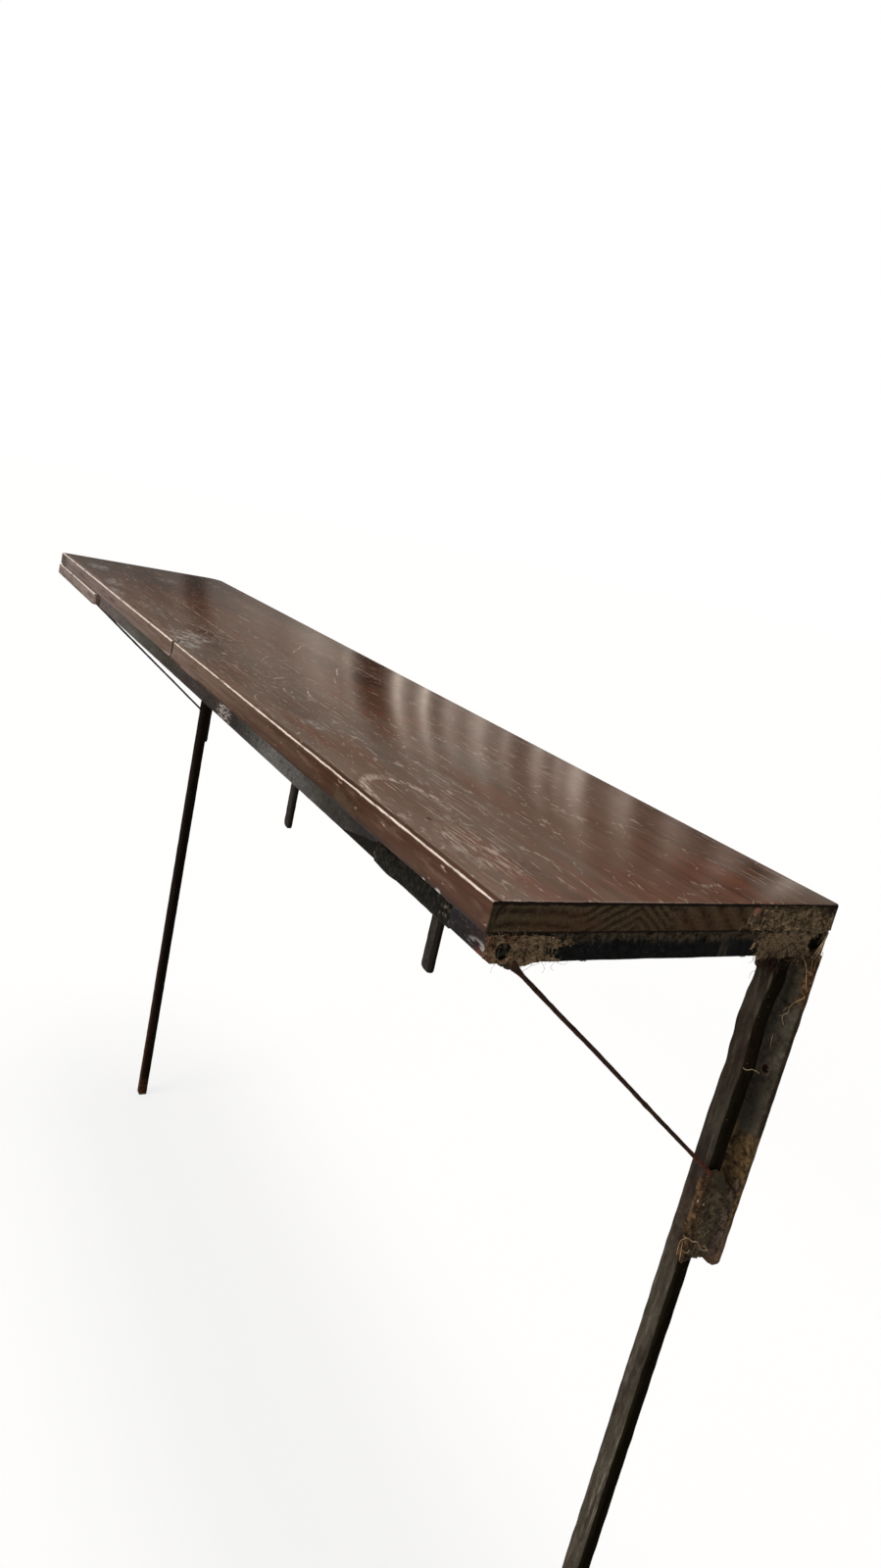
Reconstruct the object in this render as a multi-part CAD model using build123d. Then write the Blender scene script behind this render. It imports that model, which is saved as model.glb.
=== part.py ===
import os

from build123d import *

# Narrow wall bar table: a plank top on a welded steel frame, four wall brackets and two legs.
# All lengths are millimetres. X runs along the table, with the near end at +X.
# Y runs from the room edge to the wall, and Z is up from the floor.
# The origin is on the floor, under the middle of the part's outer box.

# Whole table
table_length = 1580.0
table_width = 300.0
table_height = 1070.0

# Plank top and the strips on its room edge
board_thickness = 21.0
board_arris_radius = 1.2
far_back_corner_radius = 25.0
edge_strip_thickness = 6.0
edge_strip_arris_radius = 1.6
edge_joint_from_near_end = 748.0
edge_joint_gap = 1.6
far_edge_strip_rise = 2.0
far_edge_strip_stands_out = 0.8
far_edge_strip_corner_radius = 5.0
cover_strip_length = 352.0
cover_strip_height = 17.0
cover_strip_stands_out = 3.0
cover_strip_arris_radius = 0.6

# Steel frame under the plank
rail_side = 20.0
rail_wall = 1.5
rail_outer_radius = 1.6
rail_inner_radius = 0.5
rail_room_setback = 7.5
splice_from_near_end = 52.0
splice_length = 113.0
splice_plate_thickness = 5.0
splice_plate_drop = 5.0
splice_plate_height = 16.0

# Flat bar brackets that carry the table on the wall
bracket_width = 25.0
bracket_thickness = 5.0
bracket_reach_below_top = 315.0
bracket_count = 4
far_bracket_from_far_end = 70.0
bracket_corner_radius = 2.0
wall_hole_diameter = 5.5
wall_hole_below_top = 142.0

# Square tube legs with plugged feet
leg_side = 16.0
leg_wall = 1.2
leg_outer_radius = 1.4
leg_inner_radius = 0.5
leg_back_from_wall = 29.0
near_leg_from_near_end = 4.0
far_leg_centre_from_far_end = 164.0
plug_head_height = 6.0
plug_head_fillet = 2.4
plug_stem_height = 22.0
plug_clearance = 0.2

# Thin stay rods between the frame and the legs
stay_diameter = 3.5
near_stay_top_from_rail_front = 16.5
far_stay_top_from_rail_front = 5.0
near_stay_end_on_plate = 4.0
far_stay_foot_below_top = 232.0

# Plate that ties the near leg to the near bracket
tie_plate_thickness = near_leg_from_near_end
tie_plate_foot_above_bracket_foot = 14.0
tie_plate_height = 78.0
tie_plate_corner_radius = 3.0

# Weld beads
bead_reach = 3.2
bead_bulge_share = 0.62
stay_collar_radius = 4.6
stay_collar_tip_radius = 2.6
stay_collar_height = 4.0
splice_bead_radius = 3.4

# Screws that hold the plank down on the cross bars
screw_diameter = 4.0
screw_bite = 15.0
screw_head_diameter = 8.0
screw_head_height = 2.2
screw_slot_width = 1.2
screw_slot_depth = 1.0
screw_hole_clearance = 0.25
pilot_clearance = 0.05
screw_place_shares = (0.22, 0.78)

# Cutters run past the faces that they open by this much
overrun = 5.0

# Places worked out from the sizes
near_end = table_length / 2
far_end = near_end - table_length
y_centre = (table_width - cover_strip_stands_out) / 2
room_edge = -y_centre
wall_face = room_edge + table_width
top_face = table_height
board_bottom = top_face - board_thickness
frame_bottom = board_bottom - rail_side
rail_front = room_edge + rail_room_setback
front_rail_y = rail_front + rail_side / 2
back_rail_y = wall_face - rail_side / 2
frame_z = board_bottom - rail_side / 2
bar_front = rail_front + rail_side
bar_back = wall_face - rail_side
bracket_front = wall_face - bracket_thickness
bracket_foot = top_face - bracket_reach_below_top
near_bracket_x = near_end - bracket_width / 2
far_bracket_x = far_end + far_bracket_from_far_end + bracket_width / 2
bracket_spacing = (near_bracket_x - far_bracket_x) / (bracket_count - 1)
bracket_centres = [near_bracket_x - bracket_spacing * i for i in range(bracket_count)]
leg_back = wall_face - leg_back_from_wall
leg_y = leg_back - leg_side / 2
leg_front = leg_back - leg_side
near_leg_x = near_end - near_leg_from_near_end - leg_side / 2
far_leg_x = far_end + far_leg_centre_from_far_end
tie_plate_foot = bracket_foot + tie_plate_foot_above_bracket_foot
tie_plate_top = tie_plate_foot + tie_plate_height
splice_near = near_end - splice_from_near_end
splice_far = splice_near - splice_length
edge_joint = near_end - edge_joint_from_near_end
near_stay_x = near_end - tie_plate_thickness / 2

cross_bar_places = {
    "near_cross_bar": near_end - rail_side / 2,
    "mid_cross_bar_near": bracket_centres[1],
    "mid_cross_bar_far": bracket_centres[2],
    "far_leg_cross_bar": far_leg_x,
    "far_end_cross_bar": far_end + rail_side / 2,
}
bracket_names = [
    "wall_bracket_near",
    "wall_bracket_mid_near",
    "wall_bracket_mid_far",
    "wall_bracket_far",
]


def block(x_span, y_span, z_span):
    """Box between two values on each axis."""
    size = [high - low for low, high in (x_span, y_span, z_span)]
    centre = [(low + high) / 2 for low, high in (x_span, y_span, z_span)]
    return Pos(*centre) * Box(*size)


def square_tube(start, direction, length, side, wall, outer_radius, inner_radius):
    """Rolled square tube with rounded corners, open at both ends."""
    profile = RectangleRounded(side, side, outer_radius)
    bore = side - wall - wall
    profile -= RectangleRounded(bore, bore, inner_radius)
    return extrude(Plane(origin=start, z_dir=direction) * profile, amount=length)


def rail_tube(start, direction, length):
    return square_tube(start, direction, length, rail_side, rail_wall, rail_outer_radius, rail_inner_radius)


def weld_bead(middle, side_a, side_b, length):
    """Bead in the corner between two faces; side_a and side_b point along the faces."""
    a = Vector(*side_a)
    run = a.cross(Vector(*side_b))
    start = Vector(*middle) - run * (length / 2)
    bulge = bead_reach * bead_bulge_share
    outline = Line((0, 0), (bead_reach, 0))
    outline += ThreePointArc((bead_reach, 0), (bulge, bulge), (0, bead_reach))
    outline += Line((0, bead_reach), (0, 0))
    section = make_face(outline)
    return extrude(Plane(origin=start, x_dir=a, z_dir=run) * section, amount=length)


def upright_cylinder(x, y, z_low, diameter, height):
    low = (Align.CENTER, Align.CENTER, Align.MIN)
    return Pos(x, y, z_low) * Cylinder(diameter / 2, height, align=low)


def screw_places():
    """Where the screws go up through the cross bars."""
    places = []
    for x in cross_bar_places.values():
        for share in screw_place_shares:
            places.append((x, bar_front + (bar_back - bar_front) * share))
    return places


def drill_screw_holes(solid, clearance):
    """Holes through a solid for the screws that pass it."""
    hole = screw_diameter + clearance + clearance
    box = solid.bounding_box()
    for x, y in screw_places():
        if box.min.X < x < box.max.X and box.min.Y < y < box.max.Y:
            depth = board_bottom + screw_bite - frame_bottom + overrun
            solid -= upright_cylinder(x, y, frame_bottom - overrun, hole, depth)
    return solid


def make_top_board():
    """Plank with eased top edges, one rounded corner and pilot holes from below."""
    board_front = room_edge + edge_strip_thickness
    board = block((far_end, near_end), (board_front, wall_face), (board_bottom, top_face))
    corner = board.edges().filter_by(Axis.Z).sort_by(Axis.X)[:2].sort_by(Axis.Y)[-1]
    board = fillet(corner, far_back_corner_radius)
    rim = board.faces().sort_by(Axis.Z)[-1].edges()
    rim = rim.filter_by(lambda edge: edge.center().Y > board_front + board_arris_radius)
    board = fillet(rim, board_arris_radius)
    return drill_screw_holes(board, pilot_clearance)


def make_near_edge_strip():
    far_side = edge_joint + edge_joint_gap / 2
    strip = block(
        (far_side, near_end), (room_edge, room_edge + edge_strip_thickness), (board_bottom, top_face)
    )
    arris = strip.edges().filter_by(Axis.X).group_by(Axis.Y)[0].sort_by(Axis.Z)[-1]
    return fillet(arris, edge_strip_arris_radius)


def make_far_edge_strip():
    """Far length of the strip: stands out a little, stops short below, has one rounded corner."""
    near_side = edge_joint - edge_joint_gap / 2
    front = room_edge - far_edge_strip_stands_out
    strip = block(
        (far_end, near_side),
        (front, room_edge + edge_strip_thickness),
        (board_bottom + far_edge_strip_rise, top_face),
    )
    corner = strip.edges().filter_by(Axis.Y).group_by(Axis.Z)[0].sort_by(Axis.X)[-1]
    strip = fillet(corner, far_edge_strip_corner_radius)
    arris = strip.edges().filter_by(Axis.X).group_by(Axis.Y)[0].sort_by(Axis.Z)[-1]
    return fillet(arris, edge_strip_arris_radius)


def make_far_cover_strip():
    """Batten against the far stretch of the front rail, a little proud of the plank's strip."""
    back = rail_front
    top = board_bottom
    front = room_edge - cover_strip_stands_out
    strip = block((far_end, far_end + cover_strip_length), (front, back), (top - cover_strip_height, top))
    arrises = strip.edges().filter_by(Axis.X).group_by(Axis.Y)[0]
    return fillet(arrises, cover_strip_arris_radius)


def make_front_rail_long():
    return rail_tube((far_end, front_rail_y, frame_z), (1, 0, 0), splice_far - far_end)


def make_front_rail_near_piece():
    return rail_tube((splice_near, front_rail_y, frame_z), (1, 0, 0), near_end - splice_near)


def make_front_rail_splice():
    """Flat bar that bridges the cut in the front rail, set a little low."""
    top = board_bottom - splice_plate_drop
    return block(
        (splice_far, splice_near),
        (rail_front, rail_front + splice_plate_thickness),
        (top - splice_plate_height, top),
    )


def make_back_rail():
    return rail_tube((far_end, back_rail_y, frame_z), (1, 0, 0), table_length)


def make_cross_bar(x):
    bar = rail_tube((x, bar_front, frame_z), (0, 1, 0), bar_back - bar_front)
    return drill_screw_holes(bar, screw_hole_clearance)


def make_wall_bracket(x):
    """Flat bar under the back rail, with one screw hole for the wall."""
    half = bracket_width / 2
    bar = block((x - half, x + half), (bracket_front, wall_face), (bracket_foot, frame_bottom))
    foot_corners = bar.edges().filter_by(Axis.Y).group_by(Axis.Z)[0]
    bar = fillet(foot_corners, bracket_corner_radius)
    hole_plane = Plane(origin=(x, bracket_front, top_face - wall_hole_below_top), z_dir=(0, 1, 0))
    hole = extrude(hole_plane * Circle(wall_hole_diameter / 2), amount=bracket_thickness + overrun, both=True)
    return bar - hole


def make_leg(x):
    length = frame_bottom - plug_head_height
    start = (x, leg_y, plug_head_height)
    return square_tube(start, (0, 0, 1), length, leg_side, leg_wall, leg_outer_radius, leg_inner_radius)


def make_foot_plug(x):
    """Plug with a domed head under the leg and a stem inside it."""
    head = extrude(
        Plane(origin=(x, leg_y, 0)) * RectangleRounded(leg_side, leg_side, leg_outer_radius),
        amount=plug_head_height,
    )
    head = fillet(head.faces().sort_by(Axis.Z)[0].edges(), plug_head_fillet)
    stem_side = leg_side - leg_wall - leg_wall - plug_clearance - plug_clearance
    stem = extrude(
        Plane(origin=(x, leg_y, plug_head_height)) * RectangleRounded(stem_side, stem_side, leg_inner_radius),
        amount=plug_stem_height,
    )
    return head + stem


def stay_bar(top, foot, clip):
    """Round rod along the line from top to foot, trimmed to the clip box."""
    line = Vector(*foot) - Vector(*top)
    extra = line.normalized() * (overrun + stay_diameter)
    start = Vector(*top) - extra
    length = (line + extra + extra).length
    rod = extrude(Plane(origin=start, z_dir=line) * Circle(stay_diameter / 2), amount=length)
    return rod & clip


def near_stay_ends():
    top = (near_stay_x, rail_front + near_stay_top_from_rail_front, frame_bottom)
    foot = (near_stay_x, leg_front + near_stay_end_on_plate, tie_plate_top)
    return top, foot


def far_stay_ends():
    top = (far_leg_x, rail_front + far_stay_top_from_rail_front, frame_bottom)
    foot = (far_leg_x, leg_front, top_face - far_stay_foot_below_top)
    return top, foot


def make_near_stay():
    top, foot = near_stay_ends()
    clip = block((far_end, near_end + overrun), (room_edge, wall_face), (tie_plate_top, frame_bottom))
    return stay_bar(top, foot, clip)


def make_far_stay():
    top, foot = far_stay_ends()
    clip = block((far_end, near_end), (room_edge, leg_front), (0, frame_bottom))
    return stay_bar(top, foot, clip)


def make_tie_plate():
    """Plate on the end side of the near leg that reaches back to the bracket."""
    plate = block(
        (near_end - tie_plate_thickness, near_end),
        (leg_front, bracket_front),
        (tie_plate_foot, tie_plate_top),
    )
    corner = plate.edges().filter_by(Axis.X).group_by(Axis.Z)[0].sort_by(Axis.Y)[0]
    return fillet(corner, tie_plate_corner_radius)


def make_frame_welds():
    """Upright beads in the corners between the cross bars and the two rails."""
    beads = []
    height = rail_side - rail_outer_radius - rail_outer_radius
    for name, x in cross_bar_places.items():
        for side in (-1, 1):
            face = x + side * rail_side / 2
            if abs(face) > near_end - rail_side / 2:
                continue
            beads.append(weld_bead((face, bar_front, frame_z), (side, 0, 0), (0, 1, 0), height))
            beads.append(weld_bead((face, bar_back, frame_z), (side, 0, 0), (0, -1, 0), height))
    return beads


def make_bracket_welds():
    """Beads along the top of each bracket, under the back rail."""
    return [
        weld_bead((x, bracket_front, frame_bottom), (0, -1, 0), (0, 0, -1), bracket_width)
        for x in bracket_centres
    ]


def make_leg_welds():
    """Beads in front of and behind each leg, under its cross bar."""
    beads = []
    length = leg_side - leg_outer_radius - leg_outer_radius
    for x in (near_leg_x, far_leg_x):
        beads.append(weld_bead((x, leg_front, frame_bottom), (0, -1, 0), (0, 0, -1), length))
        beads.append(weld_bead((x, leg_back, frame_bottom), (0, 1, 0), (0, 0, -1), length))
    return beads


def stay_collar(centre, direction, rod):
    """Cone of weld round the end of a stay rod."""
    loft_axis = Plane(origin=centre, z_dir=direction)
    cone = Cone(
        stay_collar_radius,
        stay_collar_tip_radius,
        stay_collar_height,
        align=(Align.CENTER, Align.CENTER, Align.MIN),
    )
    return (loft_axis * cone) - rod


def make_stay_welds(near_rod, far_rod):
    near_top, near_foot = near_stay_ends()
    far_top, far_foot = far_stay_ends()
    near_half = block(
        (far_end, near_end), (room_edge, leg_front + stay_collar_radius + near_stay_end_on_plate), (0, top_face)
    )
    return [
        stay_collar(near_top, (0, 0, -1), near_rod) & near_half,
        stay_collar(far_top, (0, 0, -1), far_rod),
        stay_collar(far_foot, (0, -1, 0), far_rod),
        (stay_collar(near_foot, (0, 0, 1), near_rod) & near_half) & tie_plate_footprint(),
    ]


def tie_plate_footprint():
    return block((near_end - tie_plate_thickness, near_end), (leg_front, bracket_front), (0, top_face))


def make_tie_plate_welds():
    """Beads down the bracket and the leg beside the tie plate."""
    height = tie_plate_height - tie_plate_corner_radius - tie_plate_corner_radius
    middle = (tie_plate_top + tie_plate_foot) / 2
    plate_side = near_end - tie_plate_thickness
    return [
        weld_bead((plate_side, bracket_front, middle), (-1, 0, 0), (0, -1, 0), height),
        weld_bead((plate_side, leg_back, middle), (-1, 0, 0), (0, 1, 0), height),
    ]


def make_splice_welds():
    """Half round beads across the joints between the splice bar and the rail's two lengths."""
    beads = []
    height = rail_side - splice_plate_drop - rail_outer_radius - rail_outer_radius
    start = frame_bottom + rail_outer_radius
    in_front = block(
        (far_end, near_end), (rail_front - splice_bead_radius, rail_front), (frame_bottom, board_bottom)
    )
    for x in (splice_far, splice_near):
        round_bead = upright_cylinder(x, rail_front, start, splice_bead_radius, height)
        beads.append(round_bead & in_front)
    return beads


def make_board_screws():
    """Pan head screws up through the cross bars into the plank."""
    screws = []
    for x, y in screw_places():
        shank_height = board_bottom + screw_bite - frame_bottom
        screw = upright_cylinder(x, y, frame_bottom, screw_diameter, shank_height)
        head_low = frame_bottom - screw_head_height
        screw += upright_cylinder(x, y, head_low, screw_head_diameter, screw_head_height)
        slot = block(
            (x - screw_head_diameter, x + screw_head_diameter),
            (y - screw_slot_width / 2, y + screw_slot_width / 2),
            (head_low - overrun, head_low + screw_slot_depth),
        )
        screws.append(screw - slot)
    return screws


def write_node(name, shape):
    """One STEP file for each named piece; a list of solids makes one grouped node."""
    if isinstance(shape, list):
        shape = Compound([solid for piece in shape for solid in piece.solids()])
    export_step(shape, f"parts/{name}.step")


def main():
    os.makedirs("parts", exist_ok=True)
    near_rod = make_near_stay()
    far_rod = make_far_stay()
    nodes = {
        "top_board": make_top_board(),
        "edge_strip_near": make_near_edge_strip(),
        "edge_strip_far": make_far_edge_strip(),
        "far_cover_strip": make_far_cover_strip(),
        "front_rail_long": make_front_rail_long(),
        "front_rail_near_piece": make_front_rail_near_piece(),
        "front_rail_splice": make_front_rail_splice(),
        "back_rail": make_back_rail(),
        "near_leg": make_leg(near_leg_x),
        "far_leg": make_leg(far_leg_x),
        "near_foot_plug": make_foot_plug(near_leg_x),
        "far_foot_plug": make_foot_plug(far_leg_x),
        "near_stay_rod": near_rod,
        "far_stay_rod": far_rod,
        "near_tie_plate": make_tie_plate(),
        "frame_welds": make_frame_welds(),
        "bracket_welds": make_bracket_welds(),
        "leg_welds": make_leg_welds(),
        "stay_welds": make_stay_welds(near_rod, far_rod),
        "tie_plate_welds": make_tie_plate_welds(),
        "splice_welds": make_splice_welds(),
        "board_screws": make_board_screws(),
    }
    for name, x in cross_bar_places.items():
        nodes[name] = make_cross_bar(x)
    for name, x in zip(bracket_names, bracket_centres):
        nodes[name] = make_wall_bracket(x)
    for name, shape in nodes.items():
        write_node(name, shape)


main()
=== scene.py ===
import math
import random

import bmesh
import bpy
from mathutils import Matrix, Vector, noise


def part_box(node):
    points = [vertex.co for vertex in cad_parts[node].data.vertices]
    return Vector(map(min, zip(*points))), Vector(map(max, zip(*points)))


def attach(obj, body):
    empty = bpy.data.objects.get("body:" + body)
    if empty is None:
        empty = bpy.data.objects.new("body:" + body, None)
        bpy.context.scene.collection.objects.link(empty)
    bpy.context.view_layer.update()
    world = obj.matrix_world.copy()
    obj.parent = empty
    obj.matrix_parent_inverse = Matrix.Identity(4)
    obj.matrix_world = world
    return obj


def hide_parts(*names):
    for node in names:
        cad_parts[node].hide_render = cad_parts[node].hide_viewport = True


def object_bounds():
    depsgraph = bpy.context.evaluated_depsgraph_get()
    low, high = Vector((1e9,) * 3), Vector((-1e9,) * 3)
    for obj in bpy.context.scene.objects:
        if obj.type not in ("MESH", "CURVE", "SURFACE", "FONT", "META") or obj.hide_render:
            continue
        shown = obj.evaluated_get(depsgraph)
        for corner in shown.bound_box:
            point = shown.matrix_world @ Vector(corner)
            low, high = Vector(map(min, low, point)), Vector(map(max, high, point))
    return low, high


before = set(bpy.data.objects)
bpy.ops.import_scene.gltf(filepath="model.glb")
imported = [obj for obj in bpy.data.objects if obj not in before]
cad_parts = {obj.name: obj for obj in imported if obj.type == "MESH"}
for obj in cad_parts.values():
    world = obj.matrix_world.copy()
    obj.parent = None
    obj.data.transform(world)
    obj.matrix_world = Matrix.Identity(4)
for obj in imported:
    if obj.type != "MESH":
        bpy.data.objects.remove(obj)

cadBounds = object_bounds()
mm = 0.001
dice = random.Random(12)
noise.seed_set(12)

# Places in the row frame, in metres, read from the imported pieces.
boardLow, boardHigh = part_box("top_board")
nearStripLow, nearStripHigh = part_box("edge_strip_near")
nearEnd = boardHigh.x
farEnd = boardLow.x
wallFace = boardHigh.y
topFace = boardHigh.z
boardBottom = boardLow.z
roomEdge = nearStripLow.y
woodBack = 1.0 * mm
steelBack = 2.2 * mm


def place(along, across, up):
    # Millimetres from the near end (negative towards the far end), the room edge and the top face.
    return Vector((nearEnd + along * mm, roomEdge + across * mm, topFace + up * mm))


# Shader graphs, built from short calls so that each finish reads from top to bottom.

class Finish:
    def __init__(self, name):
        self.material = bpy.data.materials.new(name)
        self.material.use_nodes = True
        self.tree = self.material.node_tree
        self.tree.nodes.clear()
        self.coord = self.add("ShaderNodeTexCoord").outputs["Object"]
        parts = self.add("ShaderNodeSeparateXYZ")
        self.feed(parts.inputs[0], self.coord)
        self.x, self.y, self.z = parts.outputs

    def add(self, kind, **settings):
        node = self.tree.nodes.new(kind)
        for key, value in settings.items():
            setattr(node, key, value)
        return node

    def feed(self, socket, value):
        if isinstance(value, bpy.types.NodeSocket):
            self.tree.links.new(value, socket)
        elif isinstance(value, tuple) and socket.type == "RGBA":
            socket.default_value = (*value, 1)
        else:
            socket.default_value = value

    def math(self, operation, a, b=0.0, clamp=False):
        node = self.add("ShaderNodeMath", operation=operation, use_clamp=clamp)
        self.feed(node.inputs[0], a)
        self.feed(node.inputs[1], b)
        return node.outputs[0]

    def plus(self, *values):
        total = values[0]
        for value in values[1:]:
            total = self.math("ADD", total, value)
        return total

    def times(self, *values):
        total = values[0]
        for value in values[1:]:
            total = self.math("MULTIPLY", total, value)
        return total

    def greatest(self, values):
        total = values[0]
        for value in values[1:]:
            total = self.math("MAXIMUM", total, value)
        return total

    def vector(self, operation, a, b=(0.0, 0.0, 0.0)):
        node = self.add("ShaderNodeVectorMath", operation=operation)
        self.feed(node.inputs[0], a)
        self.feed(node.inputs[1], b)
        return node.outputs["Value" if operation in ("LENGTH", "DOT_PRODUCT") else "Vector"]

    def mapped(self, scale, turn=0.0, source=None):
        node = self.add("ShaderNodeMapping")
        self.feed(node.inputs["Vector"], source or self.coord)
        node.inputs["Scale"].default_value = scale
        node.inputs["Rotation"].default_value = (0, 0, turn)
        return node.outputs[0]

    def noise(self, scale=1.0, detail=4.0, roughness=0.55, source=None, distortion=0.0):
        node = self.add("ShaderNodeTexNoise")
        self.feed(node.inputs["Vector"], source or self.coord)
        for key, value in zip(("Scale", "Detail", "Roughness", "Distortion"), (scale, detail, roughness, distortion)):
            node.inputs[key].default_value = value
        return node.outputs["Fac"]

    def grain(self, scale, detail=4.0, roughness=0.55, turn=0.0, distortion=0.0):
        return self.noise(1.0, detail, roughness, self.mapped(scale, turn), distortion)

    def cells(self, scale, source=None):
        node = self.add("ShaderNodeTexVoronoi")
        self.feed(node.inputs["Vector"], source or self.coord)
        node.inputs["Scale"].default_value = scale
        return node.outputs["Distance"]

    def step(self, value, low, high):
        # 0 at low, 1 at high; low may be the greater one.
        node = self.add("ShaderNodeMapRange", interpolation_type="SMOOTHSTEP")
        self.feed(node.inputs["Value"], value)
        ends = (low, high, 0.0, 1.0) if low < high else (high, low, 1.0, 0.0)
        for key, number in zip(("From Min", "From Max", "To Min", "To Max"), ends):
            node.inputs[key].default_value = number
        return node.outputs[0]

    def along(self, value, stops):
        # Levels at places measured in millimetres from the near end.
        first, last = stops[0][0], stops[-1][0]
        share = self.add("ShaderNodeMapRange")
        self.feed(share.inputs["Value"], value)
        share.inputs["From Min"].default_value = nearEnd + first * mm
        share.inputs["From Max"].default_value = nearEnd + last * mm
        return self.ramp(share.outputs[0], [((at - first) / (last - first), level) for at, level in stops])

    def ramp(self, value, stops):
        node = self.add("ShaderNodeValToRGB")
        band = node.color_ramp
        while len(band.elements) < len(stops):
            band.elements.new(0.5)
        for element, (where, colour) in zip(band.elements, stops):
            element.position = where
            element.color = (*colour, 1) if isinstance(colour, tuple) else (colour, colour, colour, 1)
        self.feed(node.inputs[0], value)
        return node.outputs[0]

    def blend(self, share, a, b, mode="MIX"):
        node = self.add("ShaderNodeMix", data_type="RGBA", blend_type=mode)
        self.feed(node.inputs[0], share)
        self.feed(node.inputs[6], a)
        self.feed(node.inputs[7], b)
        return node.outputs[2]

    def spot(self, centre, reach, source=None, stretch=(1.0, 1.0, 1.0)):
        # 1 inside an ellipsoid round a point, gone at one and a half times its reach in millimetres.
        away = self.vector("SUBTRACT", source or self.coord, tuple(centre))
        away = self.vector("MULTIPLY", away, stretch)
        return self.step(self.vector("LENGTH", away), reach * 1.5 * mm, reach * 0.6 * mm)

    def scratch(self, source, start, end, width):
        run = Vector(end) - Vector(start)
        fromStart = self.vector("SUBTRACT", source, tuple(start))
        share = self.math("MULTIPLY", self.vector("DOT_PRODUCT", fromStart, tuple(run)), 1 / run.length_squared, True)
        scaled = self.add("ShaderNodeVectorMath", operation="SCALE")
        scaled.inputs[0].default_value = tuple(run)
        self.feed(scaled.inputs["Scale"], share)
        gap = self.vector("LENGTH", self.vector("SUBTRACT", fromStart, scaled.outputs[0]))
        return self.step(gap, width * mm, width * 0.2 * mm)

    def shaken(self, scale, amount):
        # The coordinates, moved about by soft noise, for marks that shouldn't run straight.
        node = self.add("ShaderNodeTexNoise")
        self.feed(node.inputs["Vector"], self.coord)
        node.inputs["Scale"].default_value = scale
        node.inputs["Detail"].default_value = 3
        offset = self.vector("SUBTRACT", node.outputs["Color"], (0.5, 0.5, 0.5))
        offset = self.vector("MULTIPLY", offset, (amount * mm, amount * mm, amount * mm))
        return self.vector("ADD", self.coord, offset)

    def bump(self, height, distance, strength=1.0, under=None):
        node = self.add("ShaderNodeBump")
        self.feed(node.inputs["Height"], height)
        node.inputs["Distance"].default_value = distance * mm
        node.inputs["Strength"].default_value = strength
        if under is not None:
            self.feed(node.inputs["Normal"], under)
        return node.outputs[0]

    def close(self, colour, roughness, normal=None, **constants):
        shader = self.add("ShaderNodeBsdfPrincipled")
        self.feed(shader.inputs["Base Color"], colour)
        self.feed(shader.inputs["Roughness"], roughness)
        if normal is not None:
            self.feed(shader.inputs["Normal"], normal)
        for name, value in constants.items():
            shader.inputs[name.replace("_", " ")].default_value = value
        out = self.add("ShaderNodeOutputMaterial")
        self.tree.links.new(shader.outputs[0], out.inputs[0])
        return self.material


# Meshes

def makeObject(name, points, faces, materials, pickMaterial=None, sharpAngle=38):
    mesh = bpy.data.meshes.new(name)
    mesh.from_pydata([tuple(p) for p in points], [], faces)
    for material in materials:
        mesh.materials.append(material)
    if pickMaterial:
        for polygon in mesh.polygons:
            polygon.material_index = pickMaterial(polygon)
    mesh.update()
    mesh.shade_smooth()
    for polygon in mesh.polygons:
        if max(abs(c) for c in polygon.normal) > 0.9999 and polygon.area > 40 * mm * mm:
            polygon.use_smooth = False
    mesh.set_sharp_from_angle(angle=math.radians(sharpAngle))
    thing = bpy.data.objects.new(name, mesh)
    bpy.context.scene.collection.objects.link(thing)
    return thing


def take(thing, slotName, *nodes):
    for vertex in thing.data.vertices:
        vertex.co = keepInside(vertex.co)
    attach(thing, "root")
    if nodes:
        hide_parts(*nodes)
    return thing


def dress(nodeName, material):
    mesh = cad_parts[nodeName].data
    mesh.materials.clear()
    mesh.materials.append(material)


def spread(low, high, stepSize):
    count = max(1, round(abs(high - low) / stepSize))
    return [low + (high - low) * i / count for i in range(count + 1)]


def wobble(point, scale, amount, seed=0.0):
    return Vector(point) + noise.noise_vector(Vector(point) * scale + Vector((seed, seed * 0.7, -seed))) * amount


def roundedRing(a0, a1, b0, b1, radii, segments=4):
    # Corners in the order (a0, b0), (a1, b0), (a1, b1), (a0, b1), each with its own radius.
    corners = ((a0, b0, 180), (a1, b0, 270), (a1, b1, 0), (a0, b1, 90))
    ring = []
    for (a, b, turn), radius in zip(corners, radii):
        centreA = a + radius if a == a0 else a - radius
        centreB = b + radius if b == b0 else b - radius
        for i in range(segments + 1):
            angle = math.radians(turn + 90 * i / segments)
            ring.append((centreA + radius * math.cos(angle), centreB + radius * math.sin(angle)))
    return ring


def loft(rings, closeStart=True, closeEnd=True):
    count = len(rings[0])
    points = [p for ring in rings for p in ring]
    faces = []
    for i in range(len(rings) - 1):
        for j in range(count):
            k = (j + 1) % count
            faces.append((i * count + j, i * count + k, (i + 1) * count + k, (i + 1) * count + j))
    if closeStart:
        faces.append(tuple(range(count - 1, -1, -1)))
    if closeEnd:
        last = (len(rings) - 1) * count
        faces.append(tuple(range(last, last + count)))
    return points, faces


def tubeSkin(outer, inner):
    # Skins of a hollow bar, with the flat rings that join them at both ends.
    count = len(outer[0])
    points, faces = loft(outer, False, False)
    innerPoints, innerFaces = loft(inner, False, False)
    shift = len(points)
    points += innerPoints
    faces += [tuple(shift + i for i in reversed(face)) for face in innerFaces]
    for row in (0, len(outer) - 1):
        for j in range(count):
            k = (j + 1) % count
            quad = (row * count + j, row * count + k, shift + row * count + k, shift + row * count + j)
            faces.append(quad if row else tuple(reversed(quad)))
    return points, faces


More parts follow.
